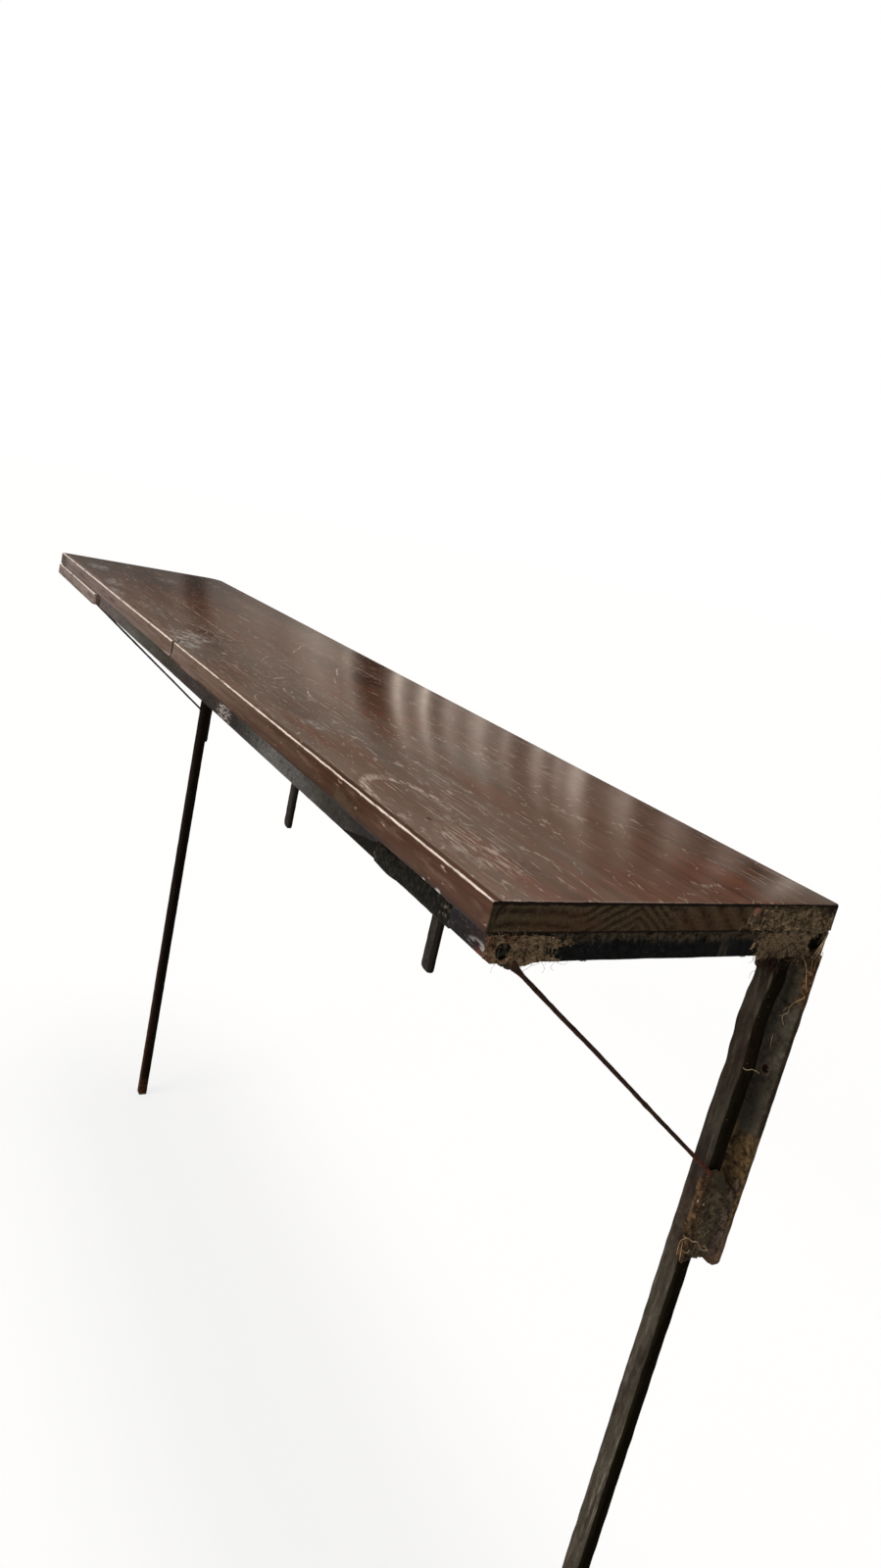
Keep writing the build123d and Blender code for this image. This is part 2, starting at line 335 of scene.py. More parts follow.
def squareTube(name, axis, low, high, box, wall, radius, material, rough=0.12, shift=None, stepMm=8, seed=0.0):
    a0, a1, b0, b1 = box
    outerRing = roundedRing(a0, a1, b0, b1, [radius] * 4)
    innerRing = roundedRing(a0 + wall, a1 - wall, b0 + wall, b1 - wall, [radius * 0.4] * 4)

    def setPoint(t, ab):
        point = Vector({"x": (t, *ab), "y": (ab[0], t, ab[1]), "z": (*ab, t)}[axis])
        return point + shift(t) if shift else point

    stations = spread(low, high, stepMm * mm)
    outer, inner = [], []
    for t in stations:
        amount = 0 if t in (stations[0], stations[-1]) else rough * mm
        outer.append([wobble(setPoint(t, ab), 70, amount, seed) for ab in outerRing])
        inner.append([setPoint(t, ab) for ab in innerRing])
    if axis == "y":
        outer = [list(reversed(ring)) for ring in outer]
        inner = [list(reversed(ring)) for ring in inner]
    return makeObject(name, *tubeSkin(outer, inner), [material])


def flatBar(name, axis, low, high, box, radius, material, rough, seed, stepMm=4, taper=None, shift=None):
    a0, a1, b0, b1 = box
    rings = []
    stations = spread(low, high, stepMm * mm)
    for t in stations:
        pinch = taper(t) if taper else 0.0
        ring = roundedRing(a0 + pinch, a1 - pinch, b0, b1, [radius] * 4, 3)
        points = [Vector({"x": (t, *ab), "y": (ab[0], t, ab[1]), "z": (*ab, t)}[axis]) for ab in ring]
        if shift:
            points = [p + shift(t) for p in points]
        rings.append([wobble(p, 90, rough * mm, seed) for p in points])
    return makeObject(name, *loft(rings), [material], sharpAngle=50)


def roundRod(points, radii, sides=10, rough=0.0, seed=0.0):
    # Rings round a line of points; the frame is carried along the line so that it doesn't twist.
    rings = []
    side = None
    for i, point in enumerate(points):
        ahead = points[min(i + 1, len(points) - 1)] - points[max(i - 1, 0)]
        ahead.normalize()
        if side is None:
            side = ahead.orthogonal().normalized()
        side = (side - ahead * side.dot(ahead)).normalized()
        other = ahead.cross(side)
        ring = []
        for j in range(sides):
            angle = 2 * math.pi * j / sides
            offset = side * math.cos(angle) + other * math.sin(angle)
            ring.append(wobble(point + offset * radii[i], 260, rough * mm, seed))
        rings.append(ring)
    return loft(rings)


def joined(parts):
    points, faces = [], []
    for morePoints, moreFaces in parts:
        shift = len(points)
        points += morePoints
        faces += [tuple(shift + i for i in face) for face in moreFaces]
    return points, faces


def lump(centre, size, rough=0.35, seed=0.0, level=3):
    ball = bmesh.new()
    bmesh.ops.create_icosphere(ball, subdivisions=level, radius=1.0)
    points = []
    for vertex in ball.verts:
        swell = 1 + rough * noise.noise(vertex.co * 1.7 + Vector((seed, seed * 2, 3.1)))
        swell += 0.5 * rough * noise.noise(vertex.co * 4.5 + Vector((seed, 1.3, seed)))
        points.append(Vector(centre) + Vector([vertex.co[i] * size[i] * mm * swell for i in range(3)]))
    faces = [tuple(v.index for v in face.verts) for face in ball.faces]
    ball.free()
    return points, faces


def crust(origin, u, v, out, sizeU, sizeV, cell, height, depth=0.4):
    # A rough sheet on a plane: height(a, b) in millimetres at a, b across it, or None where there is none.
    countU, countV = int(sizeU / cell), int(sizeV / cell)
    heights = {}
    for i in range(countU + 1):
        for j in range(countV + 1):
            tall = height(i * cell, j * cell)
            if tall is not None:
                heights[i, j] = tall
    kept = [
        (i, j) for i in range(countU) for j in range(countV)
        if all(key in heights for key in ((i, j), (i + 1, j), (i + 1, j + 1), (i, j + 1)))
    ]
    points, faces, seen = [], [], {}

    def corner(i, j, top):
        key = (i, j, top)
        if key not in seen:
            rim = sum((i + di, j + dj) in keptSet for di in (-1, 0) for dj in (-1, 0)) < 4
            tall = heights[i, j] * (0.35 if rim else 1.0) if top else -depth
            seen[key] = len(points)
            points.append(origin + u * (i * cell * mm) + v * (j * cell * mm) + out * (tall * mm))
        return seen[key]

    keptSet = set(kept)
    for i, j in kept:
        ring = [(i, j), (i + 1, j), (i + 1, j + 1), (i, j + 1)]
        faces.append(tuple(corner(a, b, True) for a, b in ring))
        faces.append(tuple(corner(a, b, False) for a, b in reversed(ring)))
        for (a, b), (c, d), other in (
            (ring[0], ring[1], (i, j - 1)), (ring[1], ring[2], (i + 1, j)),
            (ring[2], ring[3], (i, j + 1)), (ring[3], ring[0], (i - 1, j)),
        ):
            if other not in keptSet:
                faces.append((corner(a, b, False), corner(c, d, False), corner(c, d, True), corner(a, b, True)))
    if u.cross(v).dot(out) < 0:
        faces = [tuple(reversed(face)) for face in faces]
    return points, faces


def strand(points, thickness, wave=0.6, seed=0.0):
    # A thin fibre through a few points, smoothed and a little uneven.
    line = []
    for i in range(len(points) - 1):
        before = points[max(i - 1, 0)]
        after = points[min(i + 2, len(points) - 1)]
        a, b = points[i], points[i + 1]
        for k in range(4):
            t = k / 4
            p = 0.5 * (2 * a + (b - before) * t + (2 * before - 5 * a + 4 * b - after) * t * t
                       + (3 * a - before - 3 * b + after) * t ** 3)
            line.append(within(wobble(p, 300, wave * mm, seed)))
    line.append(within(points[-1]))
    radii = [thickness * mm * (0.45 + 0.55 * math.sin(math.pi * (0.15 + 0.7 * i / (len(line) - 1)))) for i in range(len(line))]
    return roundRod(line, radii, 5)


def within(point):
    # Holds a loose hair inside the table's own box, a little below the top.
    inner = 0.5 * mm
    return Vector((min(point.x, nearEnd - inner), max(min(point.y, wallFace - inner), roomEdge), min(point.z, topFace - 2 * mm)))


def looseHairs(count, area, out, reach, thickness, lift):
    # Short hairs scattered over an area given by a function that returns a point on it.
    hairs = []
    for n in range(count):
        start = area()
        turn = dice.uniform(0, 2 * math.pi)
        length = dice.uniform(*reach) * mm
        side = Vector((0, math.cos(turn), math.sin(turn))) if abs(out.x) > 0.5 else Vector((math.cos(turn), 0, math.sin(turn)))
        bend = Vector((0, -side.z, side.y)) if abs(out.x) > 0.5 else Vector((-side.z, 0, side.x))
        curl = dice.uniform(-0.5, 0.5) * length
        points = [
            start + out * (dice.uniform(0, lift) * mm),
            start + side * (length * 0.35) + bend * curl * 0.6 + out * (dice.uniform(0, lift) * mm),
            start + side * (length * 0.7) + bend * curl + out * (dice.uniform(0, lift) * mm),
            start + side * length + bend * curl * 0.5 + out * (dice.uniform(0, lift) * mm),
        ]
        hairs.append(strand([within(p) for p in points], dice.uniform(*thickness), 0.25, n))
    return joined(hairs)


# Wood

varnish = {
    "dark": (0.075, 0.032, 0.018),
    "warm": (0.138, 0.062, 0.038),
    "red": (0.15, 0.046, 0.022),
    "grey": (0.050, 0.046, 0.045),
    "stain": (0.036, 0.014, 0.007),
    "film": (0.142, 0.118, 0.098),
    "worn": (0.25, 0.18, 0.145),
    "scuff": (0.46, 0.37, 0.31),
    "putty": (0.40, 0.385, 0.36),
}
# Scratches on the top: start and end as along and across in millimetres, width, strength.
topScratches = [
    (-710, 123, -480, 122, 1.0, 0.5), (-480, 122, -275, 121, 0.8, 0.4), (-310, 96, -230, 98, 1.0, 0.6),
    (-740, 118, -708, 98, 1.3, 0.7), (-708, 98, -655, 92, 1.0, 0.6), (-735, 216, -708, 197, 1.3, 0.7),
    (-708, 197, -668, 180, 1.5, 1.0), (-650, 168, -612, 155, 1.2, 0.7), (-565, 101, -520, 86, 1.3, 0.9),
    (-520, 86, -450, 89, 1.0, 0.8), (-450, 80, -372, 84, 1.0, 0.5), (-548, 68, -527, 63, 1.1, 0.7),
    (-527, 63, -498, 62, 0.9, 0.6), (-606, 89, -594, 72, 1.8, 0.7), (-612, 60, -600, 53, 1.2, 0.4),
    (-1110, 105, -1000, 103, 1.4, 0.7), (-1000, 103, -820, 100, 1.2, 0.7), (-876, 216, -790, 167, 1.4, 0.9),
    (-876, 217, -800, 226, 1.2, 0.6), (-840, 262, -790, 240, 1.2, 0.6), (-916, 58, -900, 73, 1.6, 0.6),
    (-900, 73, -865, 76, 1.4, 0.6), (-865, 76, -842, 64, 1.4, 0.5), (-1240, 120, -1100, 96, 1.2, 0.4),
]
# Pale worn patches: along, across, reach, stretch along and across, strength.
topPatches = [
    (-1440, 38, 15, 0.45, 1.0, 0.9), (-1402, 150, 14, 0.5, 0.9, 0.6), (-1235, 26, 14, 0.5, 1.2, 0.8),
    (-1140, 12, 12, 0.35, 1.3, 0.8), (-800, 30, 26, 0.7, 1.0, 0.9), (-752, 14, 16, 0.5, 1.1, 0.9),
    (-712, 52, 3.2, 0.8, 1.0, 1.0), (-395, 42, 8, 0.5, 1.0, 0.7), (-140, 50, 8, 0.5, 1.0, 0.5),
]


def makeTopVarnish():
    s = Finish("topVarnish")
    lines = s.grain((3.0, 150.0, 150.0), 6, 0.62, 0.0, 0.4)
    fineLines = s.grain((14.0, 620.0, 620.0), 3, 0.6)
    broad = s.grain((2.2, 15.0, 15.0), 3)
    tone = s.ramp(lines, [(0.34, varnish["dark"]), (0.62, varnish["warm"])])
    tone = s.blend(s.times(s.step(fineLines, 0.5, 0.72), 0.5), tone, varnish["dark"])
    stains = s.step(s.plus(s.grain((4.5, 26.0, 26.0), 5, 0.62), s.times(s.step(s.x, nearEnd - 0.25, nearEnd - 0.5), 0.09)), 0.56, 0.70)
    tone = s.blend(s.times(stains, 0.7), tone, varnish["stain"])
    filmed = s.times(s.step(s.y, roomEdge + 0.125, roomEdge + 0.03), s.step(s.x, nearEnd - 0.36, nearEnd - 0.12), 0.6)
    filmed = s.math("MAXIMUM", filmed, s.times(s.step(s.y, roomEdge + 0.13, roomEdge + 0.015), 0.75))
    filmed = s.math("MAXIMUM", filmed, s.times(s.step(s.y, roomEdge + 0.21, roomEdge + 0.10), s.step(s.x, nearEnd - 0.42, nearEnd - 0.20), 0.6))
    farFilm = s.times(s.step(s.y, roomEdge + 0.175, roomEdge + 0.11), s.step(s.x, nearEnd - 1.15, nearEnd - 0.90), s.step(s.x, nearEnd - 0.18, nearEnd - 0.30))
    filmed = s.math("MAXIMUM", filmed, s.times(farFilm, 0.65))
    filmed = s.math("MAXIMUM", filmed, s.times(s.spot(place(-20, 275, 0), 26, stretch=(1.0, 0.7, 1.0)), 0.8))
    filmed = s.math("MAXIMUM", filmed, s.times(s.spot(place(-340, 100, 0), 80, stretch=(0.6, 1.0, 1.0)), 0.85))
    tone = s.blend(s.times(filmed, s.step(s.grain((7.0, 22.0, 1.0), 4, 0.6), 0.22, 0.58), 0.85), tone, varnish["film"])
    tone = s.blend(s.times(s.step(broad, 0.42, 0.66), 0.32), tone, varnish["warm"])
    corner = s.spot(place(-65, 235, 0), 34, stretch=(0.7, 1.0, 1.0))
    middle = s.spot(place(-480, 165, 0), 60, stretch=(0.28, 1.0, 1.0))
    redness = s.step(s.grain((7.0, 40.0, 40.0), 4, 0.6), 0.46, 0.64)
    tone = s.blend(s.times(s.greatest([corner, s.times(middle, 0.7), 0.25]), redness, 0.8), tone, varnish["red"])
    farGrey = s.step(s.plus(s.x, s.times(s.grain((6.0, 30.0, 1.0), 3), 0.4)), nearEnd - 0.78, nearEnd - 1.35)
    tone = s.blend(s.times(farGrey, 0.7), tone, varnish["grey"])

    shaken = s.shaken(38.0, 5.0)
    film = s.noise(26.0, 5, 0.7)
    dashes = 0.0
    for scale, turn, low in (
        ((9.0, 420.0, 1.0), 0.0, 0.665), ((15.0, 460.0, 1.0), 0.13, 0.680),
        ((14.0, 430.0, 1.0), -0.20, 0.680), ((42.0, 600.0, 1.0), 0.5, 0.72),
    ):
        dashes = s.math("MAXIMUM", s.step(s.grain(scale, 2, 0.5, turn), low - 0.02, low + 0.05), dashes)
    roomSide = s.step(s.y, roomEdge + 0.20, roomEdge + 0.01)
    patchy = s.step(s.plus(s.noise(9.0, 3, 0.6), s.times(roomSide, 0.05)), 0.44, 0.66)
    onTop = s.step(s.z, topFace - 1.4 * mm, topFace - 0.6 * mm)
    dashing = s.times(dashes, patchy, onTop)
    curls = 0.0
    for scale, turn in (((5.0, 24.0, 1.0), 0.12), ((8.0, 30.0, 1.0), -0.16), ((15.0, 40.0, 1.0), 0.35)):
        fromLine = s.math("ABSOLUTE", s.plus(s.grain(scale, 1, 0.4, turn), -0.5))
        curls = s.math("MAXIMUM", s.step(fromLine, 0.010, 0.003), curls)
    curling = s.times(curls, onTop, s.step(s.grain((60.0, 150.0, 1.0), 3, 0.6), 0.50, 0.60))
    marks = 0.0
    for x0, y0, x1, y1, width, strength in topScratches:
        marks = s.math("MAXIMUM", s.times(s.scratch(shaken, place(x0, y0, 0), place(x1, y1, 0), width), strength), marks)
    broken = s.step(s.grain((90.0, 160.0, 1.0), 3, 0.6), 0.36, 0.52)
    marking = s.times(marks, broken, onTop)

    strokes = s.step(s.grain((70.0, 700.0, 1.0), 3, 0.6, 0.35), 0.47, 0.58)
    ringAway = s.vector("MULTIPLY", s.vector("SUBTRACT", shaken, tuple(place(-186, 36, 0))), (0.52, 1.0, 1.0))
    ringGap = s.math("ABSOLUTE", s.math("SUBTRACT", s.vector("LENGTH", ringAway), 27 * mm))
    ring = s.times(onTop, s.step(ringGap, 5.0 * mm, 1.0 * mm), s.step(s.x, nearEnd - 0.160, nearEnd - 0.195), strokes)
    scuffs = s.times(s.spot(place(-84, 40, 0), 21, shaken, (0.55, 1.0, 1.0)), s.step(s.grain((50.0, 420.0, 1.0), 3), 0.5, 0.6))
    patches = 0.0
    for x, y, reach, longer, wider, strength in topPatches:
        patches = s.math("MAXIMUM", s.times(s.spot(place(x, y, 0), reach, shaken, (longer, wider, 1.0)), strength), patches)
    patching = s.times(patches, onTop, s.step(s.grain((60.0, 120.0, 1.0), 5, 0.72), 0.42, 0.64))

    fromEdge = s.plus(s.y, s.times(s.grain((20.0, 60.0, 1.0), 5, 0.7), -0.075))
    rubbed = s.times(s.step(fromEdge, roomEdge - 0.012, roomEdge - 0.034), s.step(s.grain((26.0, 300.0, 1.0), 4, 0.6), 0.36, 0.56))
    tone = s.blend(s.times(rubbed, 0.05), tone, varnish["worn"])
    tone = s.blend(s.times(dashing, s.plus(s.times(roomSide, -0.25), 0.85)), tone, varnish["scuff"])
    tone = s.blend(s.times(curling, 0.42), tone, varnish["scuff"])
    tone = s.blend(s.greatest([marking, s.times(ring, 0.9), s.times(scuffs, 0.45)]), tone, varnish["scuff"])
    tone = s.blend(s.times(patching, 0.75), tone, varnish["putty"])
    fleck = s.spot(place(-142, 31, 0), 1.6, shaken, (0.5, 1.2, 1.0))
    tone = s.blend(fleck, tone, (0.012, 0.006, 0.004))
    hook = s.math("MAXIMUM", s.scratch(shaken, place(-741, 0, 0), place(-750, 8, 0), 2.2), s.scratch(shaken, place(-750, 8, 0), place(-764, 12, 0), 2.0))
    tone = s.blend(s.times(hook, 0.85), tone, (0.03, 0.02, 0.015))

    wear = s.greatest([dashing, marking, ring, scuffs, patching, s.times(rubbed, 0.5)])
    roughness = s.plus(s.times(film, 0.16), 0.05, s.times(wear, 0.3), s.times(farGrey, 0.08), s.times(roomSide, 0.12))
    height = s.plus(s.times(lines, 0.7), s.times(fineLines, 0.35), s.times(dashing, -0.5))
    normal = s.bump(height, 0.03, 0.35)
    return s.close(tone, roughness, normal, Specular_IOR_Level=0.5)


edgeStrip = {"arris": 1.8 * mm, "frontFoot": 0.6 * mm, "backEdges": 0.3 * mm, "unevenness": 0.12}
jointRound = 7 * mm


def makeStripVarnish(name, levels, topEdge, footEdge):
    s = Finish(name)
    lines = s.grain((5.0, 180.0, 180.0), 6, 0.62, 0.0, 0.5)
    blotches = s.grain((16.0, 60.0, 90.0), 4, 0.65)
    tone = s.along(s.x, levels)
    tone = s.blend(s.step(lines, 0.3, 0.7), s.blend(1.0, tone, (0.55, 0.5, 0.48), "MULTIPLY"), tone)
    tone = s.blend(s.times(s.step(blotches, 0.52, 0.70), 0.5), tone, (0.19, 0.12, 0.09))
    tone = s.blend(s.times(s.step(s.grain((22.0, 60.0, 60.0), 4, 0.7), 0.54, 0.66), 0.55), tone, (0.085, 0.062, 0.036))
    tone = s.blend(s.times(s.step(s.grain((9.0, 90.0, 90.0), 3), 0.56, 0.68), 0.5), tone, (0.035, 0.016, 0.009))
    nicks = s.step(s.grain((60.0, 260.0, 260.0), 3, 0.6), 0.66, 0.74)
    tone = s.blend(s.times(nicks, 0.7), tone, (0.5, 0.36, 0.29))
    low = s.times(s.step(s.z, footEdge + 4.5 * mm, footEdge + 0.5 * mm), s.step(blotches, 0.38, 0.55))
    tone = s.blend(s.times(low, 0.85), tone, (0.03, 0.016, 0.011))
    fromTop = s.math("SUBTRACT", topEdge, s.z)
    fromFront = s.math("SUBTRACT", s.y, roomEdge)
    fromArris = s.math("MAXIMUM", fromTop, fromFront)
    ragged = s.plus(fromArris, s.times(s.grain((70.0, 500.0, 500.0), 4, 0.65), 0.0022))
    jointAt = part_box("edge_strip_far")[1].x
    fromJoint = s.math("ABSOLUTE", s.math("SUBTRACT", s.x, jointAt + 0.5 * mm))
    # The pale band along the top arris is worn bare wood, lightened further as a painted highlight.
    worn = s.times(s.step(ragged, 2.7 * mm, 1.7 * mm), s.step(s.grain((30.0, 100.0, 100.0), 3), 0.3, 0.42), s.step(fromJoint, 3.0 * mm, 6.0 * mm))
    tone = s.blend(worn, tone, (0.70, 0.60, 0.53))
    # Round the joint between the strips: painted shade in the gap, and a painted highlight along the far strip's
    # rounded corner.
    overEnd = s.math("MAXIMUM", s.math("SUBTRACT", s.x, jointAt - jointRound), 0.0)
    overFoot = s.math("MAXIMUM", s.math("SUBTRACT", boardBottom + 2 * mm + jointRound, s.z), 0.0)
    outward = s.math("SQRT", s.plus(s.times(overEnd, overEnd), s.times(overFoot, overFoot)))
    onFar = s.step(s.x, jointAt + 0.3 * mm, jointAt + 0.1 * mm)
    rim = s.times(s.step(outward, jointRound - 2.6 * mm, jointRound - 1.6 * mm), s.step(s.x, jointAt - 50 * mm, jointAt - 16 * mm), onFar)
    tone = s.blend(s.times(rim, 0.75), tone, (0.42, 0.34, 0.30))
    gap = s.times(s.step(s.x, jointAt + 7.0 * mm, jointAt + 4.0 * mm), s.step(s.x, jointAt - 1.2 * mm, jointAt - 0.2 * mm))
    gap = s.times(gap, s.step(s.z, boardBottom + 4 * mm, boardBottom + 8 * mm))
    tone = s.blend(s.times(gap, 0.92), tone, (0.012, 0.008, 0.006))
    # Pale spots on the lower edge near the splice: chipped varnish, brightened as painted glints.
    chipGlint = s.greatest([s.spot(place(-61, 0, -20.6), 1.5, stretch=(0.45, 1, 1)), s.spot(place(-81, 0, -20.8), 1.0, stretch=(0.4, 1, 1))])
    tone = s.blend(s.times(chipGlint, s.step(s.noise(420.0, 3), 0.36, 0.5)), tone, (0.46, 0.42, 0.41))
    roughness = s.plus(s.times(blotches, 0.25), 0.26)
    normal = s.bump(s.plus(lines, s.times(nicks, -0.6)), 0.07, 0.7)
    return s.close(tone, roughness, normal, Specular_IOR_Level=0.06)


def makeEndGrain(name="endGrain", centre=114.0):
    s = Finish(name)
    shaken = s.shaken(26.0, 3.0)
    parts = s.add("ShaderNodeSeparateXYZ")
    s.feed(parts.inputs[0], shaken)
    y, z = parts.outputs[1], parts.outputs[2]
    off = s.math("SUBTRACT", y, roomEdge + centre * mm)
    left = s.times(s.math("MINIMUM", s.times(off, -1.0), 44 * mm), 0.55)
    right = s.times(s.math("MINIMUM", off, 26 * mm), 0.80)
    rise = s.plus(z, s.math("MAXIMUM", left, right))
    rings = s.math("SINE", s.plus(s.times(rise, 2 * math.pi / 0.0066), s.times(s.noise(60.0, 2), 3.0)))
    bowed = s.vector("MULTIPLY", s.vector("SUBTRACT", shaken, tuple(place(0, 30, -52))), (0.0, 0.55, 1.0))
    arcs = s.math("SINE", s.plus(s.times(s.vector("LENGTH", bowed), 2 * math.pi / 0.0085), s.times(s.noise(45.0, 2), 4.0)))
    middle = s.times(s.step(y, roomEdge + 0.058, roomEdge + 0.074), s.step(y, roomEdge + 0.152, roomEdge + 0.136))
    pattern = s.blend(middle, arcs, rings)
    pattern = s.plus(s.times(pattern, 0.5), 0.5)
    pores = s.grain((1.0, 700.0, 800.0), 5, 0.7)
    fuzz = s.grain((1.0, 170.0, 260.0), 5, 0.75)
    tone = s.ramp(pattern, [(0.08, (0.017, 0.010, 0.005)), (0.45, (0.050, 0.035, 0.019)), (1.0, (0.076, 0.055, 0.031))])
    tone = s.blend(s.times(s.step(s.z, topFace - 0.004, topFace - 0.02), 0.25), tone, (0.05, 0.03, 0.016))
    tone = s.blend(s.times(s.step(fuzz, 0.45, 0.66), 0.5), tone, (0.095, 0.070, 0.040))
    tone = s.blend(s.times(s.step(pores, 0.56, 0.4), 0.7), tone, (0.016, 0.009, 0.004))
    reds = s.greatest([
        s.spot(place(0, 55, -16), 14, shaken, (0.0, 0.5, 1.4)),
        s.spot(place(0, 178, -15), 14, shaken, (0.0, 0.4, 1.3)),
        s.times(s.spot(place(0, 120, -12), 9, shaken, (0.0, 0.6, 1.2)), 0.5),
    ])
    tone = s.blend(s.times(reds, s.step(fuzz, 0.35, 0.6), 0.5), tone, (0.068, 0.028, 0.014))
    pink = s.spot(place(0, 218, -6), 3.2, shaken, (0.0, 1.0, 1.0))
    tone = s.blend(s.times(pink, 0.8), tone, (0.26, 0.11, 0.08))
    ragged = s.times(s.grain((1.0, 90.0, 60.0), 5, 0.7), 0.0052)
    depth = s.math("SUBTRACT", topFace, s.z)
    stain = s.step(s.math("SUBTRACT", depth, ragged), 1.0 * mm, -0.4 * mm)
    inset = s.math("SUBTRACT", s.y, roomEdge)
    side = s.times(s.step(s.math("SUBTRACT", inset, ragged), 0.6 * mm, -0.8 * mm), 0.35)
    cornerAcross = s.math("MAXIMUM", s.math("SUBTRACT", 0.0135, inset), 0.0)
    cornerUp = s.math("MAXIMUM", s.math("SUBTRACT", 0.0100, depth), 0.0)
    outward = s.math("SQRT", s.plus(s.times(cornerAcross, cornerAcross), s.times(cornerUp, cornerUp)))
    outward = s.plus(outward, s.times(s.plus(s.grain((1.0, 160.0, 160.0), 4, 0.6), -0.5), 0.003))
    leftPart = s.step(inset, 0.034, 0.012)
    outside = s.times(s.step(outward, 8.0 * mm, 8.8 * mm), leftPart)
    tone = s.blend(s.times(outside, 0.75), tone, (0.034, 0.026, 0.014))
    outline = s.times(s.step(outward, 7.2 * mm, 8.2 * mm), s.step(outward, 10.6 * mm, 9.0 * mm), leftPart)
    outline = s.times(outline, s.step(depth, 0.016, 0.008))
    foot = s.times(s.step(s.math("SUBTRACT", s.z, s.times(ragged, 0.4)), boardBottom + 0.4 * mm, boardBottom), 0.9)
    corner = s.spot(place(0, 298, -3), 7, shaken, (0.0, 0.9, 1.2))
    tone = s.blend(s.greatest([stain, side, foot, corner, s.times(outline, 0.9)]), tone, (0.008, 0.005, 0.003))
    # Pale line along the top edge: a painted highlight on the rounded arris.
    edge = s.step(depth, 0.9 * mm, 0.3 * mm)
    edge = s.times(edge, s.step(s.grain((1.0, 60.0, 1.0), 3), 0.42, 0.55))
    tone = s.blend(s.times(edge, 0.7), tone, (0.42, 0.30, 0.24))
    normal = s.bump(s.plus(s.times(pattern, 0.6), s.times(pores, 1.3), fuzz), 0.22, 0.8)
    return s.close(tone, 0.85, normal, Specular_IOR_Level=0.06)


# Steel

def makeRailPaint(name):
    # Grey dust over dark paint, thicker on some stretches, and black below a slanting line near the splice.
    s = Finish(name)
    dust = [
        (-1580, (0.125, 0.104, 0.100)), (-1174, (0.130, 0.106, 0.101)), (-962, (0.100, 0.094, 0.084)), (-822, (0.058, 0.051, 0.042)),
        (-703, (0.052, 0.041, 0.038)), (-512, (0.034, 0.029, 0.025)), (-450, (0.065, 0.062, 0.058)), (-395, (0.112, 0.108, 0.103)),
        (-340, (0.105, 0.102, 0.098)), (-272, (0.051, 0.048, 0.042)), (-200, (0.037, 0.032, 0.030)), (-60, (0.034, 0.032, 0.033)),
        (-45, (0.023, 0.021, 0.023)), (-25, (0.026, 0.020, 0.021)), (-8, (0.036, 0.025, 0.024)), (0, (0.030, 0.018, 0.014)),
    ]
    speckle = s.grain((260.0, 420.0, 420.0), 6, 0.75)
    film = s.grain((30.0, 110.0, 110.0), 4, 0.6)
    tone = s.blend(1.0, s.along(s.x, dust), s.ramp(s.plus(s.times(speckle, 0.6), s.times(film, 0.4)), [(0.34, 0.30), (0.5, 0.42), (0.66, 0.78)]), "MULTIPLY")
    tone = s.blend(1.0, tone, (2.3, 2.3, 2.3), "MULTIPLY")
    tone = s.blend(s.times(s.step(speckle, 0.60, 0.70), 0.35), tone, (0.30, 0.28, 0.27))
    tone = s.blend(s.times(s.step(s.noise(140.0, 4, 0.7), 0.56, 0.66), 0.6), tone, (0.014, 0.010, 0.012))
    chips = s.times(s.spot(place(-545, 3, -32), 10, stretch=(0.5, 0.3, 1.0)), s.step(speckle, 0.50, 0.58))
    tone = s.blend(chips, tone, (0.55, 0.48, 0.46))
    streaks = s.times(s.spot(place(-14, 4, -36.5), 5.5, stretch=(0.5, 0.3, 1.5)), s.step(s.grain((60.0, 200.0, 500.0), 3, 0.6), 0.44, 0.54))
    tone = s.blend(s.times(streaks, 0.85), tone, (0.50, 0.47, 0.46))
    rust = s.times(s.spot(place(-6, 3, -41), 6, stretch=(0.5, 0.3, 1.0)), s.step(s.noise(190.0, 5, 0.7), 0.38, 0.56))
    tone = s.blend(s.times(rust, 0.85), tone, (0.15, 0.055, 0.035))
    line = s.plus(s.times(s.math("SUBTRACT", s.x, nearEnd - 0.235), 0.175), topFace - 0.0405)
    line = s.plus(line, s.times(s.grain((60.0, 60.0, 60.0), 4), 0.004), -0.002)
    below = s.times(s.step(s.math("SUBTRACT", line, s.z), -0.3 * mm, 0.9 * mm), s.step(s.x, nearEnd - 0.24, nearEnd - 0.228))
    below = s.times(below, s.step(s.x, nearEnd - 0.054, nearEnd - 0.058))
    tone = s.blend(below, tone, s.ramp(speckle, [(0.4, (0.006, 0.006, 0.005)), (0.75, (0.022, 0.021, 0.018))]))
    normal = s.bump(s.plus(speckle, film), 0.10, 0.7)
    return s.close(tone, s.plus(s.times(speckle, 0.25), 0.5), normal, Specular_IOR_Level=0.02)


